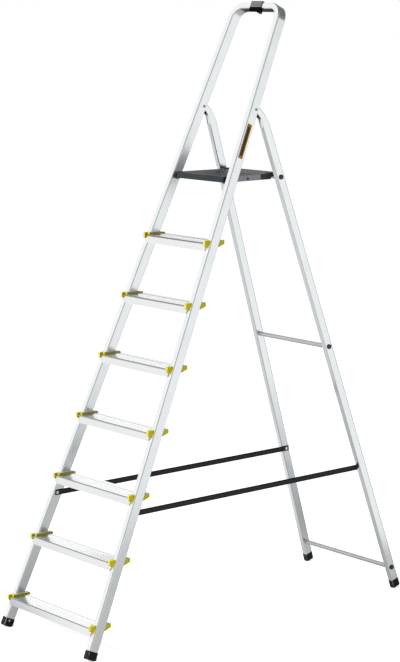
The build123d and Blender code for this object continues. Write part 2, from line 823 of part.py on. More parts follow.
# Bushes in the stiles for the platform's hinge pins
bush_seat = inner_half(hinge_along) - bush_flange_diameter / 2 * splay_tan
bush_face = inner_half(hinge_along) - tray_side_gap + bush_gap
for name, side in sides.items():
    with BuildPart() as bush:
        with BuildSketch(cross_plane(side * bush_face, hinge_y, hinge_height)):
            Circle(bush_flange_diameter / 2)
        extrude(amount=side * (bush_seat - bush_face))
        with BuildSketch(cross_plane(side * bush_seat, hinge_y, hinge_height)):
            Circle(bush_spigot_diameter / 2)
        extrude(amount=side * bush_spigot)
        with BuildSketch(cross_plane(side * bush_face, hinge_y, hinge_height)):
            Circle(hinge_pin_diameter / 2 + pin_clearance)
        extrude(amount=side * stile_width, mode=Mode.SUBTRACT)
    bush.part.label = f"platform_bush_{name}"
    export_step(bush.part, f"parts/platform_bush_{name}.step")

# Platform tray: a ribbed moulding, open below, narrowing with the stiles
axle_y = leg_y(axle_height)
tray_top = axle_height + tray_above_axle
tray_low = tray_top - tray_thickness
claw_radius = axle_diameter / 2 + hook_clearance
tray_front = hinge_y - tray_front_reach
tray_rear = axle_y + tray_behind_axle
boss_inner = inner_half(hinge_along) - tray_side_gap - hinge_pin_hold


def tray_half(y):
    """Half the width of the tray at a Y."""
    return inner_half(hinge_along + y - hinge_y) - tray_side_gap


def tray_side(side, depth):
    """Plane inside a slanted side of the tray: X to the rear from the axle, Y up from the axle."""
    inward = (-side * depth * splay_cos, -depth * splay_sin, 0)
    origin = Vector(side * tray_half(axle_y), axle_y, axle_height) + Vector(*inward)
    return Plane(origin, (-side * splay_sin, splay_cos, 0), (splay_cos, side * splay_sin, 0))


def claw_points():
    """Points of the mouth that leads the axle into a claw, round the axle's centre."""
    front_cos = cos(radians(hook_mouth_front))
    rear_cos = cos(radians(hook_mouth_rear))
    front_foot = claw_radius / front_cos + tray_thickness * tan(radians(hook_mouth_front))
    rear_foot = claw_radius / rear_cos + tray_thickness * tan(radians(hook_mouth_rear))
    return [
        (-claw_radius * front_cos, claw_radius * sin(radians(hook_mouth_front))),
        (-front_foot, -tray_thickness),
        (rear_foot, -tray_thickness),
        (claw_radius * rear_cos, claw_radius * sin(radians(hook_mouth_rear))),
    ]


tray_corners = [
    (-tray_half(tray_front), tray_front),
    (tray_half(tray_front), tray_front),
    (tray_half(tray_rear), tray_rear),
    (-tray_half(tray_rear), tray_rear),
]
tray_length = tray_rear - tray_front
notch_front = hook_front_reach + hook_seam
notch_rear = hook_rear_reach + hook_seam
rib_inset = hook_width + hook_seam
rib_half = tray_half(tray_rear) - rib_inset
groove_length = axle_y - hook_front_reach - tray_front - tray_groove_margin
with BuildPart() as platform_tray:
    with BuildSketch(Plane.XY.offset(tray_top)) as tray_plan:
        with BuildLine():
            Polyline(tray_corners, close=True)
        make_face()
        fillet(tray_plan.vertices(), tray_corner)
    extrude(amount=-tray_thickness)
    fillet(platform_tray.faces().sort_by(Axis.Z)[-1].edges(), tray_wall / 2)
    with BuildSketch(Plane.XY.offset(tray_top - tray_plate)) as tray_hollow:
        with BuildLine():
            Polyline(tray_corners, close=True)
        make_face()
        fillet(tray_hollow.vertices(), tray_corner)
        offset(amount=-tray_wall, mode=Mode.REPLACE)
    extrude(amount=-tray_thickness, mode=Mode.SUBTRACT)
    # Ribs under the plate
    with BuildSketch(Plane.XY.offset(tray_top - tray_plate)):
        with Locations((0, (tray_front + tray_rear) / 2)):
            with GridLocations(rib_half, 0, tray_rib_count, 1):
                Rectangle(tray_rib, tray_length - tray_wall)
            with GridLocations(0, tray_length / (tray_rib_count + 1), 1, tray_rib_count):
                Rectangle(2 * rib_half, tray_rib)
    extrude(amount=tray_low + tray_wall - tray_top + tray_plate)
    # Bosses for the hinge pins
    for side in sides.values():
        with BuildSketch(cross_plane(side * boss_inner, hinge_y, hinge_height)):
            Circle(hinge_boss_diameter / 2)
        extrude(amount=side * (hinge_pin_hold - tray_wall / 2))
        with BuildSketch(cross_plane(side * boss_inner, hinge_y, hinge_height)):
            Circle(hinge_pin_diameter / 2)
        extrude(amount=side * 2 * hinge_pin_hold, mode=Mode.SUBTRACT)
    # Notches for the hooks, with a wall beside each, and bores for the hook screws
    for side in sides.values():
        with BuildSketch(tray_side(side, rib_inset)):
            with Locations(((notch_rear - notch_front) / 2, tray_above_axle - tray_thickness / 2)):
                Rectangle(notch_front + notch_rear, tray_thickness - tray_wall)
        extrude(amount=-side * tray_rib)
        with BuildSketch(tray_side(side, rib_inset)):
            with Locations(((notch_rear - notch_front) / 2, 0)):
                Rectangle(notch_front + notch_rear, 2 * tray_thickness)
        extrude(amount=side * 2 * hook_width, mode=Mode.SUBTRACT)
        with BuildSketch(tray_side(side, rib_inset)):
            with Locations((-hook_screw_reach, hook_screw_drop)):
                Circle(hook_screw_diameter / 2)
        extrude(amount=side * 2 * hook_width, mode=Mode.SUBTRACT)
    # Clearance for the axle under the plate
    with BuildSketch(cross_plane(0, axle_y, axle_height)):
        Circle(claw_radius)
        with BuildLine():
            Polyline(claw_points(), close=True)
        make_face()
    extrude(amount=base_width / 2, both=True, mode=Mode.SUBTRACT)
    # Grooves in the standing surface
    with BuildSketch(Plane.XY.offset(tray_top)):
        with Locations((0, (tray_front + axle_y - hook_front_reach) / 2)):
            with GridLocations(tray_groove_pitch, 0, tray_groove_count, 1):
                SlotOverall(groove_length, tray_groove_width, 90)
    extrude(amount=-tray_groove_depth, mode=Mode.SUBTRACT)
platform_tray.part.label = "platform_tray"
export_step(platform_tray.part, "parts/platform_tray.step")

# Hooks: moulded blocks let into the tray's sides, whose claws drop over the axle
hook_low = tray_low - axle_height
for name, side in sides.items():
    with BuildPart() as hook:
        with BuildSketch(tray_side(side, 0)):
            with BuildLine():
                Polyline(
                    (-hook_front_reach, hook_low),
                    (-hook_front_reach, tray_above_axle),
                    (-hook_hump_half - hook_hump, tray_above_axle),
                    (-hook_hump_half, tray_above_axle + hook_hump),
                    (hook_hump_half - 2 * hook_hump, tray_above_axle + hook_hump),
                    (hook_hump_half - hook_hump, tray_above_axle),
                    (hook_rear_reach, tray_above_axle),
                    (hook_rear_reach, hook_low),
                    close=True,
                )
            make_face()
        extrude(amount=-side * hook_width)
        with BuildSketch(tray_side(side, tray_wall + hook_seam)):
            with Locations((-hook_front_reach - hook_arm / 2, hook_screw_drop)):
                Rectangle(hook_arm, hook_arm_height)
        extrude(amount=-side * hook_arm_thickness)
        with BuildSketch(tray_side(side, 0)):
            with Locations((-hook_screw_reach, hook_screw_drop)):
                Circle(hook_screw_diameter / 2)
        extrude(amount=-side * hook_width, mode=Mode.SUBTRACT)
        # Claw, open downwards
        with BuildSketch(cross_plane(0, axle_y, axle_height)):
            Circle(claw_radius)
            with BuildLine():
                Polyline(claw_points(), close=True)
            make_face()
        extrude(amount=side * base_width, mode=Mode.SUBTRACT)
    hook.part.label = f"platform_hook_{name}"
    export_step(hook.part, f"parts/platform_hook_{name}.step")

with BuildPart() as platform_screws:
    for side in sides.values():
        screw_face = tray_side(side, 0)
        with BuildSketch(screw_face):
            with Locations((-hook_screw_reach, hook_screw_drop)):
                Circle(hook_screw_head / 2)
        extrude(amount=side * hook_screw_head_height)
        with BuildSketch(screw_face):
            with Locations((-hook_screw_reach, hook_screw_drop)):
                Circle(hook_screw_diameter / 2)
        extrude(amount=-side * (tray_wall + hook_seam + hook_arm_thickness))
platform_screws.part.label = "platform_screws"
export_step(platform_screws.part, "parts/platform_screws.step")

with BuildPart() as hinge_pins:
    for side in sides.values():
        with BuildSketch(cross_plane(side * boss_inner, hinge_y, hinge_height)):
            Circle(hinge_pin_diameter / 2)
        extrude(amount=side * (hinge_pin_hold + tray_side_gap + bush_spigot - hinge_pin_short))
hinge_pins.part.label = "hinge_pins"
export_step(hinge_pins.part, "parts/hinge_pins.step")

# Limit straps: flat webbing from the inner face of each stile to the inner face of its leg
strap_front_face = inner_half(strap_front_along)
strap_rear_face = leg_half(strap_rear_height) - leg_width / 2 / leg_splay_cos
strap_rear_y = leg_y(strap_rear_height)
strap_inset = strap_gap + strap_thickness
washer_inset = strap_inset + strap_clearance
head_inset = washer_inset + strap_washer
strap_anchors = {
    "front": (strap_front_face, strap_front_y, strap_front_height, stile_wall),
    "rear": (strap_rear_face, strap_rear_y, strap_rear_height, leg_wall),
}
for name, side in sides.items():
    front_end = Vector(side * (strap_front_face - strap_gap), strap_front_y, strap_front_height)
    rear_end = Vector(side * (strap_rear_face - strap_gap), strap_rear_y, strap_rear_height)
    run = rear_end - front_end
    outward = run.cross(Vector(0, 0, 1))
    with BuildPart() as strap:
        with BuildSketch(Plane(front_end, run, outward)):
            with Locations((run.length / 2, 0)):
                RectangleRounded(run.length + 2 * strap_tail, strap_width, strap_width / 4)
            with Locations((0, 0), (run.length, 0)):
                Circle(strap_rivet_diameter / 2 + strap_clearance, mode=Mode.SUBTRACT)
        extrude(amount=strap_thickness * (-1 if side * outward.X > 0 else 1))
    strap.part.label = f"limit_strap_{name}"
    export_step(strap.part, f"parts/limit_strap_{name}.step")

for end, (face_x, anchor_y, anchor_z, wall) in strap_anchors.items():
    with BuildPart() as strap_washers:
        for side in sides.values():
            with BuildSketch(cross_plane(side * (face_x - washer_inset), anchor_y, anchor_z)):
                Circle(strap_washer_diameter / 2)
                Circle(strap_rivet_diameter / 2, mode=Mode.SUBTRACT)
            extrude(amount=-side * strap_washer)
    strap_washers.part.label = f"strap_washers_{end}"
    export_step(strap_washers.part, f"parts/strap_washers_{end}.step")
    with BuildPart() as strap_rivets:
        for side in sides.values():
            head_plane = cross_plane(side * (face_x - head_inset), anchor_y, anchor_z)
            with BuildSketch(head_plane):
                Circle(strap_rivet_diameter / 2)
            extrude(amount=side * (head_inset + wall + strap_rivet_tail))
            with BuildSketch(head_plane):
                Circle(strap_rivet_head / 2)
            extrude(amount=-side * strap_rivet_head_height)
    strap_rivets.part.label = f"strap_rivets_{end}"
    export_step(strap_rivets.part, f"parts/strap_rivets_{end}.step")
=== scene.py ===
"""Platform stepladder with seven treads: finishes, webbing straps, studio and camera.

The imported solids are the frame. This script gives every visible surface its finish, weaves the
two limit straps, adds the small trim that the solids leave out, and sets up light and camera.
All places are in metres, in the frame of the solids.
"""

import logging
import math
from dataclasses import dataclass, replace
from enum import Enum
from typing import Any, Callable, Iterable, Optional, Union

import bpy
from mathutils import Matrix, Vector


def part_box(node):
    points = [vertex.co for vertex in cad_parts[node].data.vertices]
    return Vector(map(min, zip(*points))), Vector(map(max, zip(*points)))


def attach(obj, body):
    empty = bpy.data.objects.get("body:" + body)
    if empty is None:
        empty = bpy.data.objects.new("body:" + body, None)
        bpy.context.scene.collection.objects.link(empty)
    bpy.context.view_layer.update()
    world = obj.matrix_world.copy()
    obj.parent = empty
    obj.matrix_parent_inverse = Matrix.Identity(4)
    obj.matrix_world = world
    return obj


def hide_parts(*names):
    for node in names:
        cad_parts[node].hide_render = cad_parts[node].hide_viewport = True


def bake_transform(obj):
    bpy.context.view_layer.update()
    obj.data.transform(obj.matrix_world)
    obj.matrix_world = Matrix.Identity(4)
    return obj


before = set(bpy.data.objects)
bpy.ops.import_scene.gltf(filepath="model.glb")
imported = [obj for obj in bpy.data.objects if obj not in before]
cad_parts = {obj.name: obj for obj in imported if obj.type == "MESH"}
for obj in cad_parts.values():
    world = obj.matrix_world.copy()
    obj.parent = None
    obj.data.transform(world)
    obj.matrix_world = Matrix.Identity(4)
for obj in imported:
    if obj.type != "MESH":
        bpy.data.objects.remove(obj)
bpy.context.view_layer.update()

Colour = tuple[float, float, float, float]
Pair = tuple[float, float]
Triple = tuple[float, float, float]
Tree = bpy.types.NodeTree
Node = bpy.types.Node
Socket = bpy.types.NodeSocket
Source = Union[Node, Socket]
Piece = bpy.types.Object

LOG = logging.getLogger("stepladder")
MM = 0.001
STILE_LEAN = math.radians(23.9)
LEG_LEAN = math.radians(17.95)
TREADS = range(1, 8)

# Ways in the frame: to the right, to the back, up, and level back from the slope of the stiles.
RIGHT: Triple = (1.0, 0.0, 0.0)
BACK: Triple = (0.0, 1.0, 0.0)
UP: Triple = (0.0, 0.0, 1.0)
BEHIND_SLOPE: Triple = (0.0, 1.0, -math.tan(STILE_LEAN))
# Most of a noise lies between these two values.
NOISE_LOW, NOISE_HIGH = 0.3, 0.7
# A normal's share along a way: of a face well off it, and of one that looks along it.
OBLIQUE, SQUARE = 0.6, 0.9
# A wave texture of scale 1 repeats at this length, in metres.
WAVE_LENGTH = 0.314
# Edges that turn by more than the first are rounded off, and by less than the second smooth.
SHARP_TURN, SMOOTH_TURN = math.radians(40), math.radians(35)
WHITE: Colour = (1.0, 1.0, 1.0, 1.0)


class Side(Enum):
    """The two hands of the ladder, as a user who faces the treads sees them."""

    LEFT = "left"
    RIGHT = "right"

    @property
    def hand(self) -> int:
        """Return the sign of x on this side."""
        return -1 if self is Side.LEFT else 1


class Run(Enum):
    """Which way a tube or profile was drawn, so that its lines follow it."""

    STILE = "stile"
    LEG = "leg"
    CROSS = "cross"


class Field(Enum):
    """What a mask is read from: a point's place, its surface's normal or a way into the sky."""

    PLACE = "Object"
    FACING = "Normal"
    SKY = "Generated"


def linear(code: str) -> Colour:
    """Turn an sRGB hex colour into linear light.

    Args:
        code: six hex digits.

    Returns:
        Red, green, blue and alpha, ready for a socket.
    """
    parts = [int(code[i:i + 2], 16) / 255 for i in (0, 2, 4)]
    lit = [c / 12.92 if c <= 0.04045 else ((c + 0.055) / 1.055) ** 2.4 for c in parts]
    return lit[0], lit[1], lit[2], 1.0


def plug(tree: Tree, socket: Socket, value: Any) -> None:
    """Set an input's value, or link what goes in.

    Args:
        tree: the tree that holds the input.
        socket: the input.
        value: a plain value, an output, or a node, which gives its first output in use.
    """
    if isinstance(value, Node):
        value = next(out for out in value.outputs if out.enabled)
    if isinstance(value, Socket):
        tree.links.new(value, socket)
    else:
        socket.default_value = value


def add(tree: Tree, kind: str, sockets: Optional[dict[Any, Any]] = None,
        stops: tuple[tuple[float, Colour], ...] = (), **settings: Any) -> Node:
    """Add a node with its settings, its values and its links.

    Args:
        tree: the node tree that takes the node.
        kind: the node's type after ShaderNode, such as Math.
        sockets: input name or number, and the value, output or node that goes in.
        stops: the places and colours of a colour ramp's two stops.
        settings: the node's own properties.

    Returns:
        The new node.
    """
    node = tree.nodes.new("ShaderNode" + kind)
    for name, value in settings.items():
        setattr(node, name, value)
    for key, value in (sockets or {}).items():
        plug(tree, node.inputs[key], value)
    for i, stop in enumerate(stops):
        node.color_ramp.elements[i].position, node.color_ramp.elements[i].color = stop
    return node


def feed(tree: Tree, shader: Node, **sockets: Any) -> None:
    """Set or link a shader's inputs, named with _ for a space.

    Args:
        tree: the tree that holds the shader.
        shader: the Principled shader, or another node that is already there.
        sockets: the input, and the value, output or node that goes in.
    """
    for name, value in sockets.items():
        plug(tree, shader.inputs[name.replace("_", " ")], value)


def axes(tree: Tree, field: Field) -> tuple[Socket, Socket, Socket]:
    """Lay what a mask is read from, split along the frame's axes.

    Args:
        tree: the tree that takes the nodes.
        field: the place, the normal or the way into the sky.

    Returns:
        The outputs for x, y and z.
    """
    x, y, z = add(tree, "SeparateXYZ", {0: add(tree, "TexCoord").outputs[field.value]}).outputs
    return x, y, z


@dataclass(frozen=True)
class Edge:
    """A soft edge across a way: the low share before its start, the high share after its end."""

    way: Triple
    start: float
    end: float
    field: Field = Field.PLACE
    low: float = 0.0
    high: float = 1.0
    smooth: bool = True

    def lay(self, tree: Tree) -> Node:
        """Lay the edge's nodes.

        Args:
            tree: the tree that takes them.

        Returns:
            The node that gives the share.
        """
        along = add(tree, "VectorMath", {0: add(tree, "TexCoord").outputs[self.field.value],
                    1: self.way}, operation="DOT_PRODUCT")
        return add(tree, "MapRange", {"Value": along, "From Min": self.start,
                   "From Max": self.end, "To Min": self.low, "To Max": self.high},
                   interpolation_type="SMOOTHSTEP" if self.smooth else "LINEAR")


def mask(tree: Tree, *shares: Union[Edge, Source]) -> Source:
    """Lay the mask of what lies inside every one of some edges and other masks.

    Args:
        tree: the tree that takes the nodes.
        shares: the edges, and the sources of other masks.

    Returns:
        The mask's source, the product of the shares.
    """
    first, *others = [s.lay(tree) if isinstance(s, Edge) else s for s in shares]
    for other in others:
        first = add(tree, "Math", {0: first, 1: other}, operation="MULTIPLY")
    return first


def inner_face(tree: Tree) -> Source:
    """Lay the mask of the faces that look at the middle of the ladder.

    Args:
        tree: the material's tree.

    Returns:
        The mask's source, 1 on such a face.
    """
    hand = add(tree, "Math", {0: axes(tree, Field.PLACE)[0]}, operation="SIGN")
    face = mask(tree, axes(tree, Field.FACING)[0], hand)
    return add(tree, "MapRange", {"Value": face, "From Min": -OBLIQUE, "From Max": -SQUARE},
               interpolation_type="SMOOTHSTEP")


@dataclass(frozen=True)
class Finish:
    """What every finish has: a name and one material, made the first time it is asked for."""

    name: str

    def material(self) -> bpy.types.Material:
        """Make the finish's material, or find it.

        Returns:
            The material.
        """
        made = bpy.data.materials.get(self.name)
        if made is None:
            made = bpy.data.materials.new(self.name)
            made.use_nodes = True
            tree = made.node_tree
            self.lay(tree, tree.nodes["Principled BSDF"])
        return made

    def lay(self, tree: Tree, shader: Node) -> None:
        """Lay the finish's nodes; each finish has its own."""
        raise NotImplementedError


@dataclass(frozen=True)
class DrawnAluminium(Finish):
    """Drawn tube or profile, bright: mirror-like along the flats, with faint lines along the draw.

    The lines of a real draw are some hundredths of a millimetre apart; they are laid a
    millimetre or so apart here, because finer ones would not show.
    """

    run: Run = Run.STILE
    tone: str = "E6EAEC"
    pale: str = "F6F8F9"
    low_rough: float = 0.18
    high_rough: float = 0.28
    line: float = 1.3 * MM
    streak: float = 420 * MM
    cloud: float = 70 * MM
    relief: float = 0.03 * MM
    # Painted shade in grooves and along the tread's nose: how dark it gets, and where the nose's
    # line ends behind the slope.
    painted_shade: float = 0.0
    painted_shade_tone: str = "5B6064"
    groove: float = 4 * MM
    lip: Optional[float] = None
    lip_soft: float = 0.2 * MM
    lip_rise: Pair = (0.35, 1.30)
    sawn_rough: float = 0.7
    # Where folding rubs: the height, how the mask comes in and goes out there, and the look.
    rubbed: float = 0.0
    rub_in: Pair = (-80 * MM, 40 * MM)
    rub_out: Pair = (140 * MM, 20 * MM)
    rubbed_metal: float = 1.0
    rubbed_rough: float = 0.38
    # Patches under the caps: the first tread's height and the rise to the next.
    chafed: Optional[Pair] = None
    chafed_low: float = 4 * MM
    chafed_top: Pair = (30 * MM, 24 * MM)
    chafed_metal: float = 0.35
    chafed_rough: float = 0.55
    # The rear strip of a tread: where it starts behind the slope, and its fall.
    rear_strip: Optional[float] = None
    strip_run: float = 40 * MM
    strip_fall: float = 2.0 * MM
    # A dull mark along a leg, the die's line across its depth; and painted shade on the leg's
    # inner faces, with its heights.
    die_line: Optional[float] = None
    die_soft: float = 0.8 * MM
    die_tone: str = "A9AEB2"
    inner_shade: Optional[Pair] = None
    inner_shade_foot: Pair = (0.22, 0.40)
    inner_shade_least: float = 0.2
    inner_shade_tone: str = "C8CCCF"

    def lay(self, tree: Tree, shader: Node) -> None:
        """Lay drawing lines and cloudy handling marks, then the wear, the marks and the painted
        shade that this finish has.

        Args:
            tree: the material's tree.
            shader: its Principled shader.
        """
        turn = {Run.STILE: -STILE_LEAN, Run.LEG: LEG_LEAN, Run.CROSS: 0.0}[self.run]
        fine = (self.line, self.line, self.streak)
        if self.run is Run.CROSS:
            fine = (self.streak, self.line, self.line)
        place = add(tree, "TexCoord").outputs["Object"]
        drawn = add(tree, "Mapping", {"Vector": place, "Rotation": (turn, 0, 0), "Scale": fine},
                    vector_type="TEXTURE")
        lines = add(tree, "TexNoise", {"Vector": drawn, "Scale": 1.0, "Detail": 2.0,
                    "Roughness": 0.6})
        cloud = add(tree, "TexNoise", {"Vector": place, "Scale": 1 / self.cloud, "Detail": 3.0})
        shade = add(tree, "ValToRGB", {"Fac": lines},
                    ((0.25, linear(self.tone)), (0.75, linear(self.pale))))
        marks = add(tree, "Mix", {0: 0.5, 2: lines, 3: cloud})
        gloss = add(tree, "MapRange", {"Value": marks, "From Min": NOISE_LOW,
                    "From Max": NOISE_HIGH, "To Min": self.low_rough, "To Max": self.high_rough})
        bump = add(tree, "Bump", {"Height": lines, "Strength": 0.5, "Distance": self.relief})
        feed(tree, shader, Metallic=1.0)
        for where, rough, metal in self.wear(tree):
            gloss = add(tree, "Mix", {0: where, 2: gloss, 3: rough})
            if metal < 1.0:
                feed(tree, shader, Metallic=add(tree, "MapRange", {"Value": where, "To Min": 1.0,
                     "To Max": metal}))
        # The die's dull line and the painted shade go into the colour.
        for where, tone in self.marks_and_painted_shade(tree):
            shade = add(tree, "Mix", {0: where, 6: shade, 7: linear(tone)}, data_type="RGBA")
        if self.rear_strip is not None:
            feed(tree, bump, Normal=self.fall(tree))
        feed(tree, shader, Base_Color=shade, Roughness=gloss, Normal=bump)

    def wear(self, tree: Tree) -> list[tuple[Source, float, float]]:
        """Lay the masks of what is matt: sawn ends, rubbed faces, chafed patches.

        Args:
            tree: the material's tree.

        Returns:
            Each mask with the roughness and the metal share there.
        """
        masks = []
        if self.painted_shade > 0.0:
            end = add(tree, "Math", {0: axes(tree, Field.FACING)[0]}, operation="ABSOLUTE")
            masks.append((add(tree, "MapRange", {"Value": end, "From Min": 0.7,
                          "From Max": SQUARE}), self.sawn_rough, 1.0))
        if self.rubbed > 0.0:
            masks.append((self.wear_and_highlight(tree), self.rubbed_rough, self.rubbed_metal))
        if self.chafed is not None:
            masks.append((self.chafe(tree), self.chafed_rough, self.chafed_metal))
        return masks

    def marks_and_painted_shade(self, tree: Tree) -> list[tuple[Source, str]]:
        """Lay the masks of what is dull or dark: painted shade in grooves and along the nose, the
        die's line, and painted shade on inner faces.

        Args:
            tree: the material's tree.

        Returns:
            Each mask with the colour there.
        """
        masks = []
        # Painted shade in the grooves and along the nose.
        if self.painted_shade > 0.0:
            masks.append((self.painted_shade_mask(tree), self.painted_shade_tone))
        if self.die_line is not None:
            across = (0.0, math.cos(LEG_LEAN), math.sin(LEG_LEAN))
            masks.append((mask(tree, Edge(across, self.die_line - self.die_soft, self.die_line,
                                          smooth=False)), self.die_tone))
        # Painted shade on the legs' inner faces: strongest low down, fading out upward and weaker
        # at the foot.
        if self.inner_shade is not None:
            low, high = self.inner_shade
            inner_shade = mask(tree, Edge(UP, *self.inner_shade_foot, low=self.inner_shade_least, smooth=False),
                        Edge(UP, high, low, smooth=False), inner_face(tree))
            masks.append((inner_shade, self.inner_shade_tone))
        return masks

    def fall(self, tree: Tree) -> Source:
        """Lay the slight fall of a tread's rear strip, which throws water off to the back.

        Args:
            tree: the material's tree.

        Returns:
            The source of the normal, tilted back behind the strip's line.
        """
        height = Edge(BEHIND_SLOPE, self.rear_strip, self.rear_strip + self.strip_run,
                      high=-self.strip_fall, smooth=False).lay(tree)
        return add(tree, "Bump", {"Height": height, "Strength": 1.0, "Distance": 1.0})

    def chafe(self, tree: Tree) -> Source:
        """Lay the mask of the matt patch that each tread's cap chafes on a stile's front face.

        Below the first tread the whole front face is matt.

        Args:
            tree: the material's tree.

        Returns:
            The mask's source, 1 on a patch.
        """
        first, pitch = self.chafed
        height = axes(tree, Field.PLACE)[2]
        climb = add(tree, "Math", {0: height, 1: first - self.chafed_low}, operation="SUBTRACT")
        step = add(tree, "Math", {0: climb, 1: pitch}, operation="MODULO")
        patch = add(tree, "MapRange", {"Value": step, "From Min": self.chafed_top[0],
                    "From Max": self.chafed_top[1]})
        over_last = first + (len(TREADS) - 0.5) * pitch
        last = add(tree, "Math", {0: height, 1: over_last}, operation="LESS_THAN")
        front = Edge((0.0, -math.cos(STILE_LEAN), math.sin(STILE_LEAN)), 0.90, 0.97,
                     Field.FACING, smooth=False)
        return mask(tree, patch, last, front)

    def wear_and_highlight(self, tree: Tree) -> Source:
        """Lay the mask of what rubs in folding: a leg's front, or a stile's face by the tray.

        Args:
            tree: the material's tree.

        Returns:
            The mask's source, 1 on the rubbed face above the rubbed height.
        """
        high = Edge(UP, self.rubbed + self.rub_in[0], self.rubbed + self.rub_in[1])
        if self.run is Run.STILE:
            top = Edge(UP, self.rubbed + self.rub_out[0], self.rubbed + self.rub_out[1])
            return mask(tree, high, top, inner_face(tree))
        return mask(tree, high, Edge(BACK, -OBLIQUE, -SQUARE, Field.FACING))

    def painted_shade_mask(self, tree: Tree) -> Source:
        """Lay the mask of painted shade: dark grooves, and a dark line along the rounded nose.

        The nose's line is wider on the higher treads.

        Args:
            tree: the material's tree.

        Returns:
            The mask's source, the finish's painted shade at most.
        """
        # Painted shade in the grooves, read from how closed in each point is.
        open_sky = add(tree, "AmbientOcclusion", {"Distance": self.groove}, samples=8,
                       only_local=True).outputs["AO"]
        groove = add(tree, "MapRange", {"Value": open_sky, "From Min": 0.70, "From Max": 0.45})
        # Painted shade on the rounded nose, where its faces turn forward and up.
        _, y, z = axes(tree, Field.FACING)
        nose = add(tree, "MapRange", {"Value": mask(tree, y, z), "From Min": -0.10,
                   "From Max": -0.32}, interpolation_type="SMOOTHSTEP")
        most = add(tree, "Math", {0: groove, 1: nose}, operation="MAXIMUM")
        if self.lip is not None:
            line = mask(tree, Edge(BEHIND_SLOPE, self.lip + self.lip_soft, self.lip, smooth=False),
                        Edge(UP, *self.lip_rise, smooth=False))
            most = add(tree, "Math", {0: most, 1: line}, operation="MAXIMUM")
        return add(tree, "Math", {0: most, 1: self.painted_shade}, operation="MULTIPLY")


@dataclass(frozen=True)
class Mottled(Finish):
    """A surface with faint clouds of colour and a fine grain, which its relief follows."""

    tone: str = "808080"
    cloud_tone: str = "787878"
    clouds: Pair = (0.35, 0.68)
    cloud: float = 45 * MM
    rough: float = 0.45
    smoother: float = 0.06
    rougher: float = 0.08
    cloudy_gloss: bool = False
    grain: float = 1.1 * MM
    grain_detail: float = 2.0
    grain_rough: float = 0.5
    relief: float = 0.05 * MM
    strength: float = 0.35
    specular: float = 0.5
    metal: float = 0.0
    # The colour of painted light: by default painted shade on the inner faces; a finish may lay a
    # painted highlight instead.
    painted_light_tone: Optional[str] = None

    def lay(self, tree: Tree, shader: Node) -> None:
        """Lay the clouds, the grain's relief, the gloss that follows either, and any painted
        light.

        Args:
            tree: the material's tree.
            shader: its Principled shader.
        """
        place = add(tree, "TexCoord").outputs["Object"]
        cloud = add(tree, "TexNoise", {"Vector": place, "Scale": 1 / self.cloud, "Detail": 3.0})
        shade = add(tree, "ValToRGB", {"Fac": cloud}, ((self.clouds[0], linear(self.tone)),
                    (self.clouds[1], linear(self.cloud_tone))))
        grain = add(tree, "TexNoise", {"Vector": place, "Scale": 1 / self.grain,
                    "Detail": self.grain_detail, "Roughness": self.grain_rough})
        gloss = add(tree, "MapRange", {"Value": cloud if self.cloudy_gloss else grain,
                    "From Min": NOISE_LOW, "From Max": NOISE_HIGH,
                    "To Min": self.rough - self.smoother, "To Max": self.rough + self.rougher})
        bump = add(tree, "Bump", {"Height": grain, "Strength": self.strength,
                   "Distance": self.relief})
        # Painted light laid into the colour where its mask says.
        if self.painted_light_tone is not None:
            shade = add(tree, "Mix", {0: self.painted_light_mask(tree, cloud), 6: shade,
                        7: linear(self.painted_light_tone)}, data_type="RGBA")
        feed(tree, shader, Base_Color=shade, Roughness=gloss, Normal=bump, Metallic=self.metal,
             Specular_IOR_Level=self.specular)

    def painted_light_mask(self, tree: Tree, cloud: Source) -> Source:
        """Lay the mask of the inner faces, which take painted shade."""
        return inner_face(tree)


@dataclass(frozen=True)
class MouldedPlastic(Mottled):
    """Injection-moulded plastic: an even colour with faint flow clouds and a fine eroded grain."""


@dataclass(frozen=True)
class FootRubber(Mottled):
    """Moulded thermoplastic rubber: near black, softly glossy, dust in the grain, a painted
    highlight on the upright corners.
    """

    tone: str = "08080A"
    cloud_tone: str = "131315"
    clouds: Pair = (0.4, 0.75)
    cloud: float = 25 * MM
    rough: float = 0.34
    cloudy_gloss: bool = True
    grain: float = 1.4 * MM
    grain_detail: float = 3.0
    grain_rough: float = 0.65
    relief: float = 0.06 * MM
    strength: float = 0.25
    specular: float = 0.22
    # The colour of the painted highlight on the upright corners.
    painted_light_tone: Optional[str] = "8C8C8E"

    def painted_light_mask(self, tree: Tree, cloud: Source) -> Source:
        """Lay the mask of the painted highlight on the upright corners, where the surface turns
        from front to side.

        Args:
            tree: the material's tree.
            cloud: the noise that breaks the painted highlight up.

        Returns:
            The mask's source, highest on a corner that takes the painted highlight.
        """
        x, y, _ = axes(tree, Field.FACING)
        # The painted highlight: where the normal lies halfway between front and side.
        edge = add(tree, "Math", {0: mask(tree, x, y)}, operation="ABSOLUTE")
        wear_and_highlight = add(tree, "MapRange", {"Value": edge, "From Min": 0.36, "From Max": 0.44},
                   interpolation_type="SMOOTHSTEP")
        broken = add(tree, "MapRange", {"Value": cloud, "From Min": 0.42, "From Max": 0.52,
                     "To Min": 0.25, "To Max": 0.9})
        return mask(tree, wear_and_highlight, broken)


@dataclass(frozen=True)
class ZincSteel(Mottled):
    """Bright zinc-plated steel: a cool grey metal with a cloudy satin gloss and tiny pits."""

    tone: str = "C9CBD0"
    cloud_tone: str = "E4E4E2"
    clouds: Pair = (0.35, 0.65)
    cloud: float = 6 * MM
    rough: float = 0.26
    smoother: float = 0.08
    cloudy_gloss: bool = True
    grain: float = 1.0 * MM
    relief: float = 0.02 * MM
    strength: float = 0.2
    metal: float = 1.0


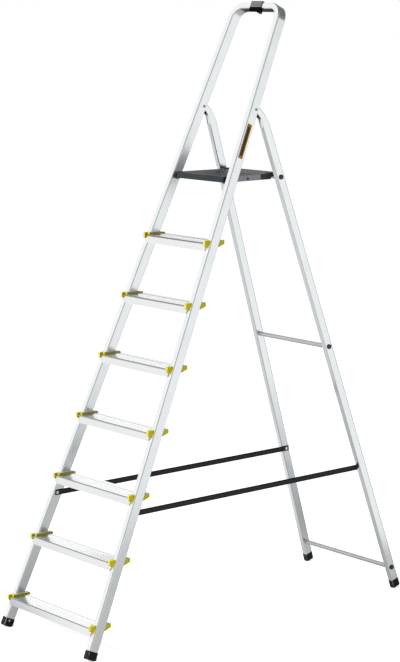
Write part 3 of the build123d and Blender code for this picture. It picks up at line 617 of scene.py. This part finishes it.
@dataclass(frozen=True)
class ClipPlastic(Finish):
    """Two-shot moulding of the bow clip: warm grey ribbed face, black soft lip under the bow."""

    face: str = "848382"
    groove: str = "4A4744"
    lip: str = "050506"
    rib: float = 5.5 * MM
    relief: float = 0.25 * MM
    grain: float = 0.9 * MM
    lip_line: float = 0.0

    def lay(self, tree: Tree, shader: Node) -> None:
        """Lay the ribs across the face and the black lip below its line.

        Args:
            tree: the material's tree.
            shader: its Principled shader.
        """
        place = add(tree, "TexCoord").outputs["Object"]
        upright = add(tree, "Mapping", {"Vector": place, "Rotation": (-STILE_LEAN, 0, 0)},
                      vector_type="TEXTURE")
        height = add(tree, "SeparateXYZ", {0: upright}).outputs[2]
        below = add(tree, "Math", {0: height, 1: self.lip_line}, operation="LESS_THAN")
        waves = add(tree, "TexWave", {"Vector": upright, "Scale": WAVE_LENGTH / self.rib},
                    bands_direction="Z").outputs["Fac"]
        ribs = add(tree, "ValToRGB", {"Fac": waves},
                   ((0.15, linear(self.groove)), (0.6, linear(self.face))))
        shade = add(tree, "Mix", {0: below, 6: ribs, 7: linear(self.lip)}, data_type="RGBA")
        grain = add(tree, "TexNoise", {"Vector": place, "Scale": 1 / self.grain})
        gloss = add(tree, "MapRange", {"Value": grain, "To Min": 0.34, "To Max": 0.52})
        bump = add(tree, "Bump", {"Height": waves, "Strength": 0.4, "Distance": self.relief})
        sheen = add(tree, "MapRange", {"Value": below, "To Min": 0.2, "To Max": 0.02})
        feed(tree, shader, Base_Color=shade, Roughness=gloss, Normal=bump,
             Specular_IOR_Level=sheen)


@dataclass(frozen=True)
class Webbing(Finish):
    """Woven polyester webbing: a soft dark cloth with ribs along it, chevrons and bound edges.

    The real yarns are about half a millimetre apart; ribs and chevrons are laid wider, to show.
    """

    width: float = 20 * MM
    length: float = 1.1
    chevron: float = 2.4 * MM
    rib: float = 1.25 * MM
    relief: float = 0.25 * MM
    yarn: str = "48484C"
    gap: str = "28282B"
    binding: str = "0C0C0E"

    def lay(self, tree: Tree, shader: Node) -> None:
        """Lay the weave on the strap's own map, in real millimetres across and along.

        Args:
            tree: the material's tree.
            shader: its Principled shader.
        """
        u, v, _ = add(tree, "SeparateXYZ", {0: add(tree, "UVMap", uv_map="UVMap")}).outputs
        across = add(tree, "Math", {0: u, 1: self.width / self.rib}, operation="MULTIPLY")
        along = add(tree, "Math", {0: v, 1: self.length / self.chevron}, operation="MULTIPLY")
        zig = add(tree, "Math", {0: across, 1: 2.0}, operation="PINGPONG")
        slant = add(tree, "Math", {0: along, 1: zig}, operation="ADD")
        turn = add(tree, "Math", {0: slant, 1: math.tau}, operation="MULTIPLY")
        pick = add(tree, "Math", {0: turn}, operation="SINE")
        rise = add(tree, "MapRange", {"Value": pick, "From Min": -1.0})
        middle = add(tree, "Math", {0: u, 1: 0.5}, operation="SUBTRACT")
        off = add(tree, "Math", {0: middle}, operation="ABSOLUTE")
        bound = add(tree, "MapRange", {"Value": off, "From Min": 0.28, "From Max": 0.36},
                    interpolation_type="SMOOTHSTEP")
        cloth = add(tree, "ValToRGB", {"Fac": rise},
                    ((0.1, linear(self.gap)), (0.7, linear(self.yarn))))
        shade = add(tree, "Mix", {0: bound, 6: cloth, 7: linear(self.binding)}, data_type="RGBA")
        bump = add(tree, "Bump", {"Height": rise, "Strength": 0.6, "Distance": self.relief})
        feed(tree, shader, Base_Color=shade, Normal=bump, Roughness=0.78,
             Specular_IOR_Level=0.2, Sheen_Weight=0.05, Sheen_Roughness=0.4)


@dataclass(frozen=True)
class LabelFilm(Finish):
    """Self-adhesive label sheet: amber print under a clear coat, with a plain dark panel and
    border.
    """

    ground: str = "C58B2C"
    pale: str = "D29B3C"
    panel: str = "49330F"
    centre: Triple = (0.0, 0.0, 0.0)
    length: float = 126 * MM
    width: float = 24 * MM
    ripple: float = 18 * MM
    relief: float = 0.3 * MM

    def lay(self, tree: Tree, shader: Node) -> None:
        """Lay the panel inside the amber border, with a faint ripple in the coat.

        Args:
            tree: the material's tree.
            shader: its Principled shader.
        """
        place = add(tree, "TexCoord").outputs["Object"]
        local = add(tree, "Mapping", {"Vector": place, "Location": self.centre,
                    "Rotation": (-STILE_LEAN, 0, 0),
                    "Scale": (1.0, self.width / 2, self.length / 2)}, vector_type="TEXTURE")
        _, y, z = add(tree, "SeparateXYZ", {0: local}).outputs
        # The panel's edges, as shares of the film's half width and half length.
        sides = []
        for way, start, end in ((y, 0.50, 0.42), (z, 0.86, 0.84)):
            off = add(tree, "Math", {0: way}, operation="ABSOLUTE")
            sides.append(add(tree, "MapRange", {"Value": off, "From Min": start, "From Max": end}))
        ripple = add(tree, "TexNoise", {"Vector": place, "Scale": 1 / self.ripple})
        ground = add(tree, "ValToRGB", {"Fac": ripple},
                     ((NOISE_LOW, linear(self.ground)), (NOISE_HIGH, linear(self.pale))))
        shade = add(tree, "Mix", {0: mask(tree, *sides), 6: ground, 7: linear(self.panel)},
                    data_type="RGBA")
        bump = add(tree, "Bump", {"Height": ripple, "Strength": 0.2, "Distance": self.relief})
        feed(tree, shader, Base_Color=shade, Normal=bump, Roughness=0.42,
             Specular_IOR_Level=0.2, Coat_Weight=0.05, Coat_Roughness=0.2)


STILE_TUBE = DrawnAluminium("drawn_aluminium_stile", run=Run.STILE, rubbed=1.56,
                            rubbed_rough=0.55)
# The legs' inner faces take painted shade low down.
LEG_TUBE = DrawnAluminium("drawn_aluminium_leg", run=Run.LEG, low_rough=0.15, high_rough=0.23,
                          rubbed=1.55, rubbed_metal=0.35, rubbed_rough=0.62,
                          die_line=694.0 * MM, inner_shade=(0.42, 0.80))
BAR_TUBE = DrawnAluminium("drawn_aluminium_bar", run=Run.CROSS, tone="C6CACE", pale="DADEE1",
                          low_rough=0.40, high_rough=0.52)
# The treads take painted shade in their grooves and along the nose.
TREAD = DrawnAluminium("extruded_aluminium_tread", run=Run.CROSS, tone="F5F7F8", pale="FDFEFE",
                       low_rough=0.17, high_rough=0.24, line=1.8 * MM, relief=0.015 * MM,
                       painted_shade=0.85)
SLEEVE = DrawnAluminium("satin_aluminium_sleeve", run=Run.LEG, tone="F4F6F7", pale="FDFDFD",
                        low_rough=0.24, high_rough=0.32)
# The caps' inner faces take painted shade.
CAP_YELLOW = MouldedPlastic("polypropylene_yellow", tone="EADE28", cloud_tone="EEE335",
                            rough=0.42, painted_light_tone="B5AE68")
PLATFORM_GREY = MouldedPlastic("polyamide_anthracite", tone="34383B", cloud_tone="3B3F42",
                               rough=0.46, grain=1.3 * MM, relief=0.08 * MM, specular=0.10)
HOOK_GREY = MouldedPlastic("polyamide_dark_grey", tone="36393C", cloud_tone="3E4144",
                           rough=0.40, specular=0.25)
BLACK_NYLON = MouldedPlastic("polyamide_black", tone="0E0E10", cloud_tone="151517", rough=0.32,
                             specular=0.3)
GLOSS_NYLON = MouldedPlastic("polyamide_black_gloss", tone="121214", cloud_tone="1A1A1C",
                             rough=0.24, specular=0.6)
CHEEK_GREY = MouldedPlastic("polypropylene_mid_grey", tone="A4A8AC", cloud_tone="ABAFB3",
                            rough=0.34)
ZINC = ZincSteel("zinc_plated_steel")
DULL_ZINC = ZincSteel("zinc_plated_steel_dull", tone="8E9194", cloud_tone="A2A4A6")
BLACK_SCREW = ZincSteel("black_oxide_steel", tone="1A1A1C", cloud_tone="26262A")
# The feet take a painted highlight on their upright corners.
RUBBER = FootRubber("moulded_rubber_black")


def both(stem: str) -> list[str]:
    """Return the left and the right name of a pair."""
    return [f"{stem}_{side.value}" for side in Side]


def dress(nodes: Iterable[str], finish: Finish) -> None:
    """Give solids their finish.

    Args:
        nodes: names of the solids.
        finish: the finish they take.
    """
    material = finish.material()
    for name in nodes:
        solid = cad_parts[name]
        if not solid.material_slots:
            solid.data.materials.append(material)
        for slot in solid.material_slots:
            slot.material = material
        LOG.info("%s: %s", name, finish.name)


def dress_piece(piece: Piece, finish: Finish, body: str) -> None:
    """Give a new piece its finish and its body.

    Args:
        piece: the piece.
        finish: the finish it takes.
        body: the body that carries it.
    """
    piece.data.materials.append(finish.material())
    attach(piece, body)
    LOG.info("%s: %s", piece.name, finish.name)


def started(name: str) -> Piece:
    """Return the primitive that was added last, with its piece's name."""
    bpy.context.object.name = bpy.context.object.data.name = name
    return bpy.context.object


def settle() -> None:
    """Put the active piece's place, turn and size into its mesh."""
    bpy.ops.object.transform_apply(location=True, rotation=True, scale=True)


def round_off(piece: Piece, radius: float) -> None:
    """Round a piece's sharp edges and smooth its shading.

    Args:
        piece: the piece, active and selected.
        radius: how far the rounding goes in from an edge.
    """
    bevel = piece.modifiers.new("edge", "BEVEL")
    bevel.width, bevel.segments, bevel.limit_method = radius, 3, "ANGLE"
    bevel.angle_limit = SHARP_TURN
    bpy.ops.object.modifier_apply(modifier=bevel.name)
    bpy.ops.object.shade_smooth_by_angle(angle=SMOOTH_TURN)


def pick_faces(piece: Piece, wanted: Callable[[Vector], bool]) -> None:
    """Enter edit mode with only some of a piece's faces selected.

    Args:
        piece: the piece, active and selected.
        wanted: tells from a face's normal whether the face is selected.
    """
    bpy.ops.object.mode_set(mode="EDIT")
    bpy.ops.mesh.select_mode(type="FACE")
    bpy.ops.mesh.select_all(action="DESELECT")
    bpy.ops.object.mode_set(mode="OBJECT")
    for face in piece.data.polygons:
        face.select = wanted(face.normal)
    bpy.ops.object.mode_set(mode="EDIT")


def sink(piece: Piece, rim: float, depth: float) -> None:
    """Sink a panel into a piece's left and right faces, inside a rim.

    Args:
        piece: the piece, active and selected.
        rim: the width of the rim that stays.
        depth: how far the panel goes in.
    """
    pick_faces(piece, lambda normal: abs(normal.x) > SQUARE)
    bpy.ops.mesh.inset(thickness=rim, depth=-depth)
    bpy.ops.object.mode_set(mode="OBJECT")


@dataclass
class FrontFrame:
    """The hoop with its treads, caps, feet, clip and label."""

    label_length: float = 126 * MM
    clip_lip_drop: float = 20.0 * MM
    rear_strip: float = 32.0 * MM
    # How far back from the tread's front the line of painted shade along the nose reaches.
    nose_line: float = 2.4 * MM

    def dress(self) -> None:
        """Dress the solids of the front frame."""
        low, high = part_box("tread_1")
        pitch = (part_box(f"tread_{TREADS[-1]}")[0].z - low.z) / (len(TREADS) - 1)
        dress(["front_hoop"], replace(STILE_TUBE, chafed=(low.z, pitch)))
        slope = high.z * math.tan(STILE_LEAN)
        dress([f"tread_{i}" for i in TREADS],
              replace(TREAD, rear_strip=high.y - slope - self.rear_strip,
                      lip=low.y - slope + self.nose_line))
        dress([f"tread_cap_{s.value}_{i}" for i in TREADS for s in Side], CAP_YELLOW)
        dress(both("front_foot"), RUBBER)
        dress(both("pivot_rivet"), DULL_ZINC)
        dress(["tread_rivets", "front_foot_rivets"], ZINC)
        dress(both("platform_bush") + ["clip_hook"], BLACK_NYLON)
        top = max(self.up_slope(v.co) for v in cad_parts["front_hoop"].data.vertices)
        dress(["bow_clip"], ClipPlastic("two_shot_clip_grey", lip_line=top - self.clip_lip_drop))
        low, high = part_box("side_label")
        dress(["side_label"], LabelFilm("label_film_amber", centre=tuple((low + high) / 2),
                                        length=self.label_length))

    @staticmethod
    def up_slope(point: Vector) -> float:
        """Return how far up the stile's slope a point is."""
        return point.y * math.sin(STILE_LEAN) + point.z * math.cos(STILE_LEAN)


@dataclass
class RearFrame:
    """The legs with their bars, plugs and feet, and a bright sleeve in each leg's mouth.

    The sleeve's ends are y and z from the pivot, and leg_middle is x at a drop below it.
    """

    pivot: Pair = (99.372 * MM, 1821.5 * MM)
    sleeve_low: Pair = (33.2 * MM, -67.0 * MM)
    sleeve_top: Pair = (28.5 * MM, -34.0 * MM)
    sleeve_half: float = 8.5 * MM
    sleeve_thick: float = 1.4 * MM
    sleeve_fold: float = 9.0 * MM
    sleeve_fold_rise: float = 0.35
    sleeve_rounding: float = 0.3 * MM
    leg_middle: float = 150.3 * MM
    leg_middle_drop: float = 71.5 * MM
    leg_splay: float = math.radians(3.17)

    def build(self) -> None:
        """Dress the solids of the rear frame and add the sleeves."""
        dress(both("rear_leg"), LEG_TUBE)
        dress(["platform_axle", "middle_bar", "lower_bar"], BAR_TUBE)
        dress(["bar_plugs"], GLOSS_NYLON)
        dress(both("rear_foot"), RUBBER)
        for side in Side:
            self.sleeve(side)

    def sleeve(self, side: Side) -> Piece:
        """Make the folded plate that stiffens one leg behind its mouth.

        Args:
            side: which hand of the ladder.

        Returns:
            The sleeve.
        """
        (low_y, low_z), (top_y, top_z) = self.sleeve_low, self.sleeve_top
        tall = math.hypot(top_y - low_y, top_z - low_z)
        bpy.ops.object.select_all(action="DESELECT")
        bpy.ops.mesh.primitive_cube_add(size=1.0)
        sleeve = started(f"leg_sleeve_{side.value}")
        sleeve.scale = (2 * self.sleeve_half, self.sleeve_thick, tall)
        settle()
        pick_faces(sleeve, lambda normal: normal.z > SQUARE)
        bpy.ops.mesh.extrude_region_move(TRANSFORM_OT_translate={
            "value": (0, self.sleeve_fold, self.sleeve_fold_rise * self.sleeve_fold)})
        bpy.ops.object.mode_set(mode="OBJECT")
        tilt = math.atan2(low_y - top_y, top_z - low_z)
        sleeve.rotation_euler = (tilt, side.hand * self.leg_splay, 0)
        drop = (low_z + top_z) / 2
        splayed = (drop + self.leg_middle_drop) * math.tan(self.leg_splay)
        sleeve.location = (side.hand * (self.leg_middle - splayed),
                           self.pivot[0] + (low_y + top_y) / 2 + self.sleeve_thick / 2,
                           self.pivot[1] + drop)
        settle()
        round_off(sleeve, self.sleeve_rounding)
        dress_piece(sleeve, SLEEVE, "rear_frame")
        return sleeve


@dataclass
class Platform:
    """The tray with its hooks, screws and pins, its side cheeks and its hinge knuckles.

    Each panel is the rim that stays round it and its depth.
    """

    front_half: float = 144.0 * MM
    taper: float = 0.0460
    front: float = -34.2 * MM
    low: float = 1570.5 * MM
    top: float = 1591.5 * MM
    cheek_start: float = -16.0 * MM
    cheek_end: float = 136.6 * MM
    cheek_edge: float = 0.9 * MM
    cheek_thick: float = 0.8 * MM
    cheek_panel: Pair = (1.6 * MM, 0.35 * MM)
    cheek_rounding: float = 0.15 * MM
    hinge: Pair = (-24.27 * MM, 1579.5 * MM)
    knuckle_radius: float = 13.5 * MM
    knuckle_length: float = 15.0 * MM
    knuckle_sides: int = 48
    knuckle_panel: Pair = (3.5 * MM, 1.4 * MM)
    knuckle_rounding: float = 0.9 * MM

    def build(self) -> None:
        """Dress the solids of the platform and add its trim."""
        dress(["platform_tray"], PLATFORM_GREY)
        dress(both("platform_hook"), HOOK_GREY)
        dress(["platform_screws"], BLACK_SCREW)
        dress(["hinge_pins"], ZINC)
        for side in Side:
            self.cheek(side)
            self.knuckle(side)

    def half(self, y: float) -> float:
        """Return half the tray's width at a depth."""
        return self.front_half - self.taper * (y - self.front)

    def cheek(self, side: Side) -> Piece:
        """Make the smooth grey cheek that covers one side of the tray, ahead of the hook.

        Args:
            side: which hand of the ladder.

        Returns:
            The cheek.
        """
        middle = (self.cheek_start + self.cheek_end) / 2
        bpy.ops.object.select_all(action="DESELECT")
        bpy.ops.mesh.primitive_cube_add(size=1.0, location=(
            side.hand * self.half(middle), middle, (self.low + self.top) / 2))
        cheek = started(f"tray_cheek_{side.value}")
        run = math.hypot(1.0, self.taper) * (self.cheek_end - self.cheek_start)
        cheek.scale = (2 * self.cheek_thick, run, self.top - self.low - 2 * self.cheek_edge)
        cheek.rotation_euler = (0, 0, side.hand * math.atan(self.taper))
        settle()
        sink(cheek, *self.cheek_panel)
        round_off(cheek, self.cheek_rounding)
        dress_piece(cheek, CHEEK_GREY, "platform")
        return cheek

    def knuckle(self, side: Side) -> Piece:
        """Make the black hinge knuckle in one front corner of the tray.

        Args:
            side: which hand of the ladder.

        Returns:
            The knuckle.
        """
        place = side.hand * (self.front_half - self.knuckle_length / 2)
        bpy.ops.object.select_all(action="DESELECT")
        bpy.ops.mesh.primitive_cylinder_add(
            vertices=self.knuckle_sides, radius=self.knuckle_radius, depth=self.knuckle_length,
            location=(place, *self.hinge), rotation=(0, math.pi / 2, 0))
        knuckle = started(f"hinge_knuckle_{side.value}")
        settle()
        sink(knuckle, *self.knuckle_panel)
        round_off(knuckle, self.knuckle_rounding)
        dress_piece(knuckle, BLACK_NYLON, "platform")
        return knuckle


@dataclass
class LimitStraps:
    """The two webbing straps that stop the legs from spreading, with their rivets and washers.

    The profile is the share of the full thickness from the centre line, 0, to the edge, 1: a
    crowned middle, a groove, then the bound edge. The trim is cut off the front end.
    """

    width: float = 20 * MM
    thickness: float = 1.6 * MM
    across: int = 24
    along: int = 160
    margin: float = 30 * MM
    trim: float = 6.5 * MM
    smooth_turn: float = math.radians(50)
    profile: tuple[Pair, ...] = ((0.0, 1.0), (0.6, 0.96), (0.74, 0.82), (0.80, 0.66),
                                 (0.88, 0.84), (0.95, 0.72), (1.0, 0.30))

    def build(self) -> None:
        """Weave both straps and dress their hardware."""
        dress(["strap_washers_front", "strap_rivets_front", "strap_washers_rear",
               "strap_rivets_rear"], ZINC)
        for side in Side:
            self.weave(side)

    def thickness_at(self, off: float) -> float:
        """Return the strap's share of its full thickness across its width.

        Args:
            off: 0 on the centre line, 1 on the edge.

        Returns:
            A share from 0 to 1, from the profile.
        """
        for (a, high), (b, low) in zip(self.profile, self.profile[1:]):
            if off <= b:
                return high + (low - high) * (off - a) / (b - a)
        return self.profile[-1][1]

    def weave(self, side: Side) -> Piece:
        """Make one strap from a flat ribbon, laid straight between its rivets.

        Args:
            side: which hand of the ladder.

        Returns:
            The strap.
        """
        node = f"limit_strap_{side.value}"
        low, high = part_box(node)
        outer, inner = (low.x, high.x) if side is Side.LEFT else (high.x, low.x)
        half = self.thickness / 2
        start = Vector((outer - side.hand * half, low.y, low.z + self.width / 2))
        end = Vector((inner + side.hand * half, high.y, high.z - self.width / 2))
        start += (end - start).normalized() * self.trim
        length = (end - start).length
        forward = (end - start).normalized()
        out = forward.cross(Vector(UP)).normalized()
        up = out.cross(forward)

        bpy.ops.object.select_all(action="DESELECT")
        bpy.ops.mesh.primitive_grid_add(x_subdivisions=self.across, y_subdivisions=self.along,
                                        size=1.0)
        strap = started(f"webbing_{side.value}")
        thicken = strap.modifiers.new("cloth", "SOLIDIFY")
        thicken.thickness, thicken.offset = 1.0, 0.0
        bpy.ops.object.modifier_apply(modifier=thicken.name)
        for vertex in strap.data.vertices:
            flat = vertex.co.copy()
            share = self.thickness_at(min(1.0, abs(flat.x) * 2))
            vertex.co = (start + forward * ((flat.y + 0.5) * length)
                         + up * (flat.x * self.width) + out * (flat.z * self.thickness * share))
        bpy.ops.object.shade_smooth_by_angle(angle=self.smooth_turn)
        bpy.ops.object.mode_set(mode="EDIT")
        bpy.ops.mesh.select_all(action="SELECT")
        bpy.ops.mesh.normals_make_consistent(inside=False)
        bpy.ops.object.mode_set(mode="OBJECT")
        strap.data.materials.append(Webbing("woven_polyester_webbing", width=self.width,
                                            length=length).material())
        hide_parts(node)
        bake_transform(strap)
        LOG.info("%s: webbing %.3f m long", strap.name, length)
        return strap


@dataclass(frozen=True)
class Patch:
    """A part of the floor or the sky with a level of its own: what lies inside all its edges."""

    level: float
    edges: tuple[Edge, ...]


# The floor's brightness in metal, each patch over the ones before it: to the right, far to the
# left, under the legs, behind on the right, in front on the left, and dark behind on the left.
FLOOR_PATCHES = (
    Patch(0.56, (Edge(RIGHT, 0.25, 0.5),)),
    Patch(0.70, (Edge(RIGHT, -0.35, -1.0),)),
    Patch(0.84, (Edge(BACK, 0.05, 0.25), Edge(RIGHT, 0.15, -0.75, smooth=False))),
    Patch(0.97, (Edge((0.26, 1.0, 0.0), 1.4, 1.75), Edge(RIGHT, 0.0, 0.5))),
    Patch(0.90, (Edge((0.44, -1.0, 0.0), 0.55, 0.85), Edge(RIGHT, 0.45, 0.15))),
    Patch(0.05, (Edge(BACK, 0.5, 1.0), Edge(RIGHT, -0.25, -0.6))),
)
FAR_LEFT = Edge((-0.8, 0.6, 0.0), 0.82, 0.94, Field.SKY)
# How dark the sky is in metal: a flag behind, the ceiling, a low cloth at the far left, and the
# room at the front right.
SKY_FLAGS = (
    Patch(1.0, (Edge((0.35, 0.94, 0.0), 0.45, 0.65, Field.SKY),
                Edge(UP, 0.09, 0.15, Field.SKY))),
    Patch(1.0, (Edge(UP, 0.62, 0.78, Field.SKY),)),
    Patch(1.0, (FAR_LEFT, Edge(UP, 0.105, 0.055, Field.SKY))),
    Patch(0.74, (Edge((0.68, -0.62, 0.38), 0.72, 0.93, Field.SKY),)),
)
# The sky is brighter again above that cloth.
SKY_GAIN = Patch(0.10, (FAR_LEFT, Edge(UP, 0.12, 0.20, Field.SKY)))


@dataclass
class Studio:
    """A plain white floor and soft light: a big key from the front left, an even sky."""

    floor_size: float = 60.0
    floor_drop: float = 0.3 * MM
    floor_matt: float = 0.8
    floor_lift: float = 0.67
    floor_dull: float = 0.6
    floor_in_metal: float = 0.42
    sky_level: float = 0.44
    sky_in_metal: Pair = (1.04, 0.17)
    key_place: Triple = (-0.8, -5.0, 4.6)
    key_aim: Triple = (0.0, 0.0, 1.1)
    key_size: float = 3.4
    key_power: float = 320.0

    def build(self) -> None:
        """Set the view transform and build floor, sky and lamp."""
        scene = bpy.context.scene
        scene.view_settings.view_transform = "Standard"
        scene.cycles.glossy_bounces, scene.cycles.max_bounces = 8, 16
        self.lay_floor()
        self.set_sky()
        self.hang_key()

    @staticmethod
    def seen_by(tree: Tree, eye: Node, light: Node, metal: Node) -> Node:
        """Lay one look for the eye and through glass, one for light that bounces, one for metal.

        Args:
            tree: the floor's or the sky's tree.
            eye: the shader that the camera sees.
            light: the shader that lights the object.
            metal: the shader that metal reflects.

        Returns:
            The shader that chooses among them.
        """
        path = add(tree, "LightPath").outputs
        seen = add(tree, "Math", {0: path["Is Camera Ray"], 1: path["Is Transmission Ray"]},
                   operation="MAXIMUM")
        unseen = add(tree, "MixShader", {0: path["Is Glossy Ray"], 1: light, 2: metal})
        return add(tree, "MixShader", {0: seen, 1: unseen, 2: eye})

    def lay_floor(self) -> None:
        """Lay the floor: white to the eye, with the object's shadow, and grey patches in metal."""
        bpy.ops.object.select_all(action="DESELECT")
        bpy.ops.mesh.primitive_plane_add(size=self.floor_size, location=(0, 0, -self.floor_drop))
        floor = bpy.context.object
        floor.name = "studio_floor"
        settle()
        made = bpy.data.materials.new("studio_floor_white")
        made.use_nodes = True
        tree = made.node_tree
        tree.nodes.clear()
        glow: Any = self.floor_in_metal
        for patch in FLOOR_PATCHES:
            glow = add(tree, "Mix", {0: mask(tree, *patch.edges), 2: glow, 3: patch.level})
        matt, dull = (add(tree, "BsdfDiffuse", {"Color": (grey, grey, grey, 1.0)})
                      for grey in (self.floor_matt, self.floor_dull))
        lift = add(tree, "Emission", {"Strength": self.floor_lift})
        white = add(tree, "AddShader", {0: matt, 1: lift})
        mirror = add(tree, "Emission", {"Strength": glow})
        add(tree, "OutputMaterial", {0: self.seen_by(tree, white, dull, mirror)})
        floor.data.materials.append(made)

    def set_sky(self) -> None:
        """Set an even sky: white to the eye, bright with dark flags in metal."""
        world = bpy.data.worlds.new("studio_sky")
        bpy.context.scene.world = world
        world.use_nodes = True
        tree = world.node_tree
        tree.nodes.clear()
        dark: Any = 0.0
        for flag in SKY_FLAGS:
            share = add(tree, "Math", {0: mask(tree, *flag.edges), 1: flag.level},
                        operation="MULTIPLY")
            dark = add(tree, "Math", {0: dark, 1: share}, operation="MAXIMUM")
        bright, dim = self.sky_in_metal
        band = add(tree, "MapRange", {"Value": dark, "To Min": bright, "To Max": dim})
        gain = add(tree, "Math", {0: mask(tree, *SKY_GAIN.edges), 1: SKY_GAIN.level},
                   operation="MULTIPLY")
        glow = add(tree, "Math", {0: band, 1: gain}, operation="ADD")
        eye, light, metal = (add(tree, "Background", {"Color": WHITE, "Strength": strength})
                             for strength in (1.0, self.sky_level, glow))
        add(tree, "OutputWorld", {0: self.seen_by(tree, eye, light, metal)})

    def hang_key(self) -> None:
        """Hang the key lamp, aimed at the middle of the ladder; metal doesn't show it."""
        lamp = bpy.data.lights.new("studio_key", "AREA")
        lamp.size, lamp.energy = self.key_size, self.key_power
        key = bpy.data.objects.new("studio_key", lamp)
        bpy.context.scene.collection.objects.link(key)
        aim = Vector(self.key_aim) - Vector(self.key_place)
        key.location = self.key_place
        key.visible_glossy = False
        key.rotation_euler = aim.to_track_quat("-Z", "Y").to_euler()


@dataclass
class Shot:
    """The camera, from the perspective fit of the photograph's stiles, treads and legs."""

    eye: Triple = (5.86638, -4.70343, 2.22516)
    forward: Triple = (-0.77242, 0.61524, -0.15763)
    right: Triple = (0.62333, 0.78195, -0.00246)
    lens: float = 115.05
    sensor: float = 36.0

    def build(self) -> None:
        """Make the camera and set it as the scene's own."""
        data = bpy.data.cameras.new("shot")
        data.lens, data.sensor_width, data.sensor_fit = self.lens, self.sensor, "AUTO"
        camera = bpy.data.objects.new("shot", data)
        bpy.context.scene.collection.objects.link(camera)
        ahead, right = Vector(self.forward).normalized(), Vector(self.right).normalized()
        up = right.cross(ahead)
        turn = Matrix((right, up, -ahead)).transposed()
        camera.matrix_world = Matrix.Translation(self.eye) @ turn.to_4x4()
        bpy.context.scene.camera = camera


def main() -> None:
    """Build the sub-assemblies, the studio and the shot."""
    logging.basicConfig(level=logging.INFO)
    Shot().build()
    FrontFrame().dress()
    RearFrame().build()
    Platform().build()
    LimitStraps().build()
    Studio().build()


if __name__ == "__main__":
    main()
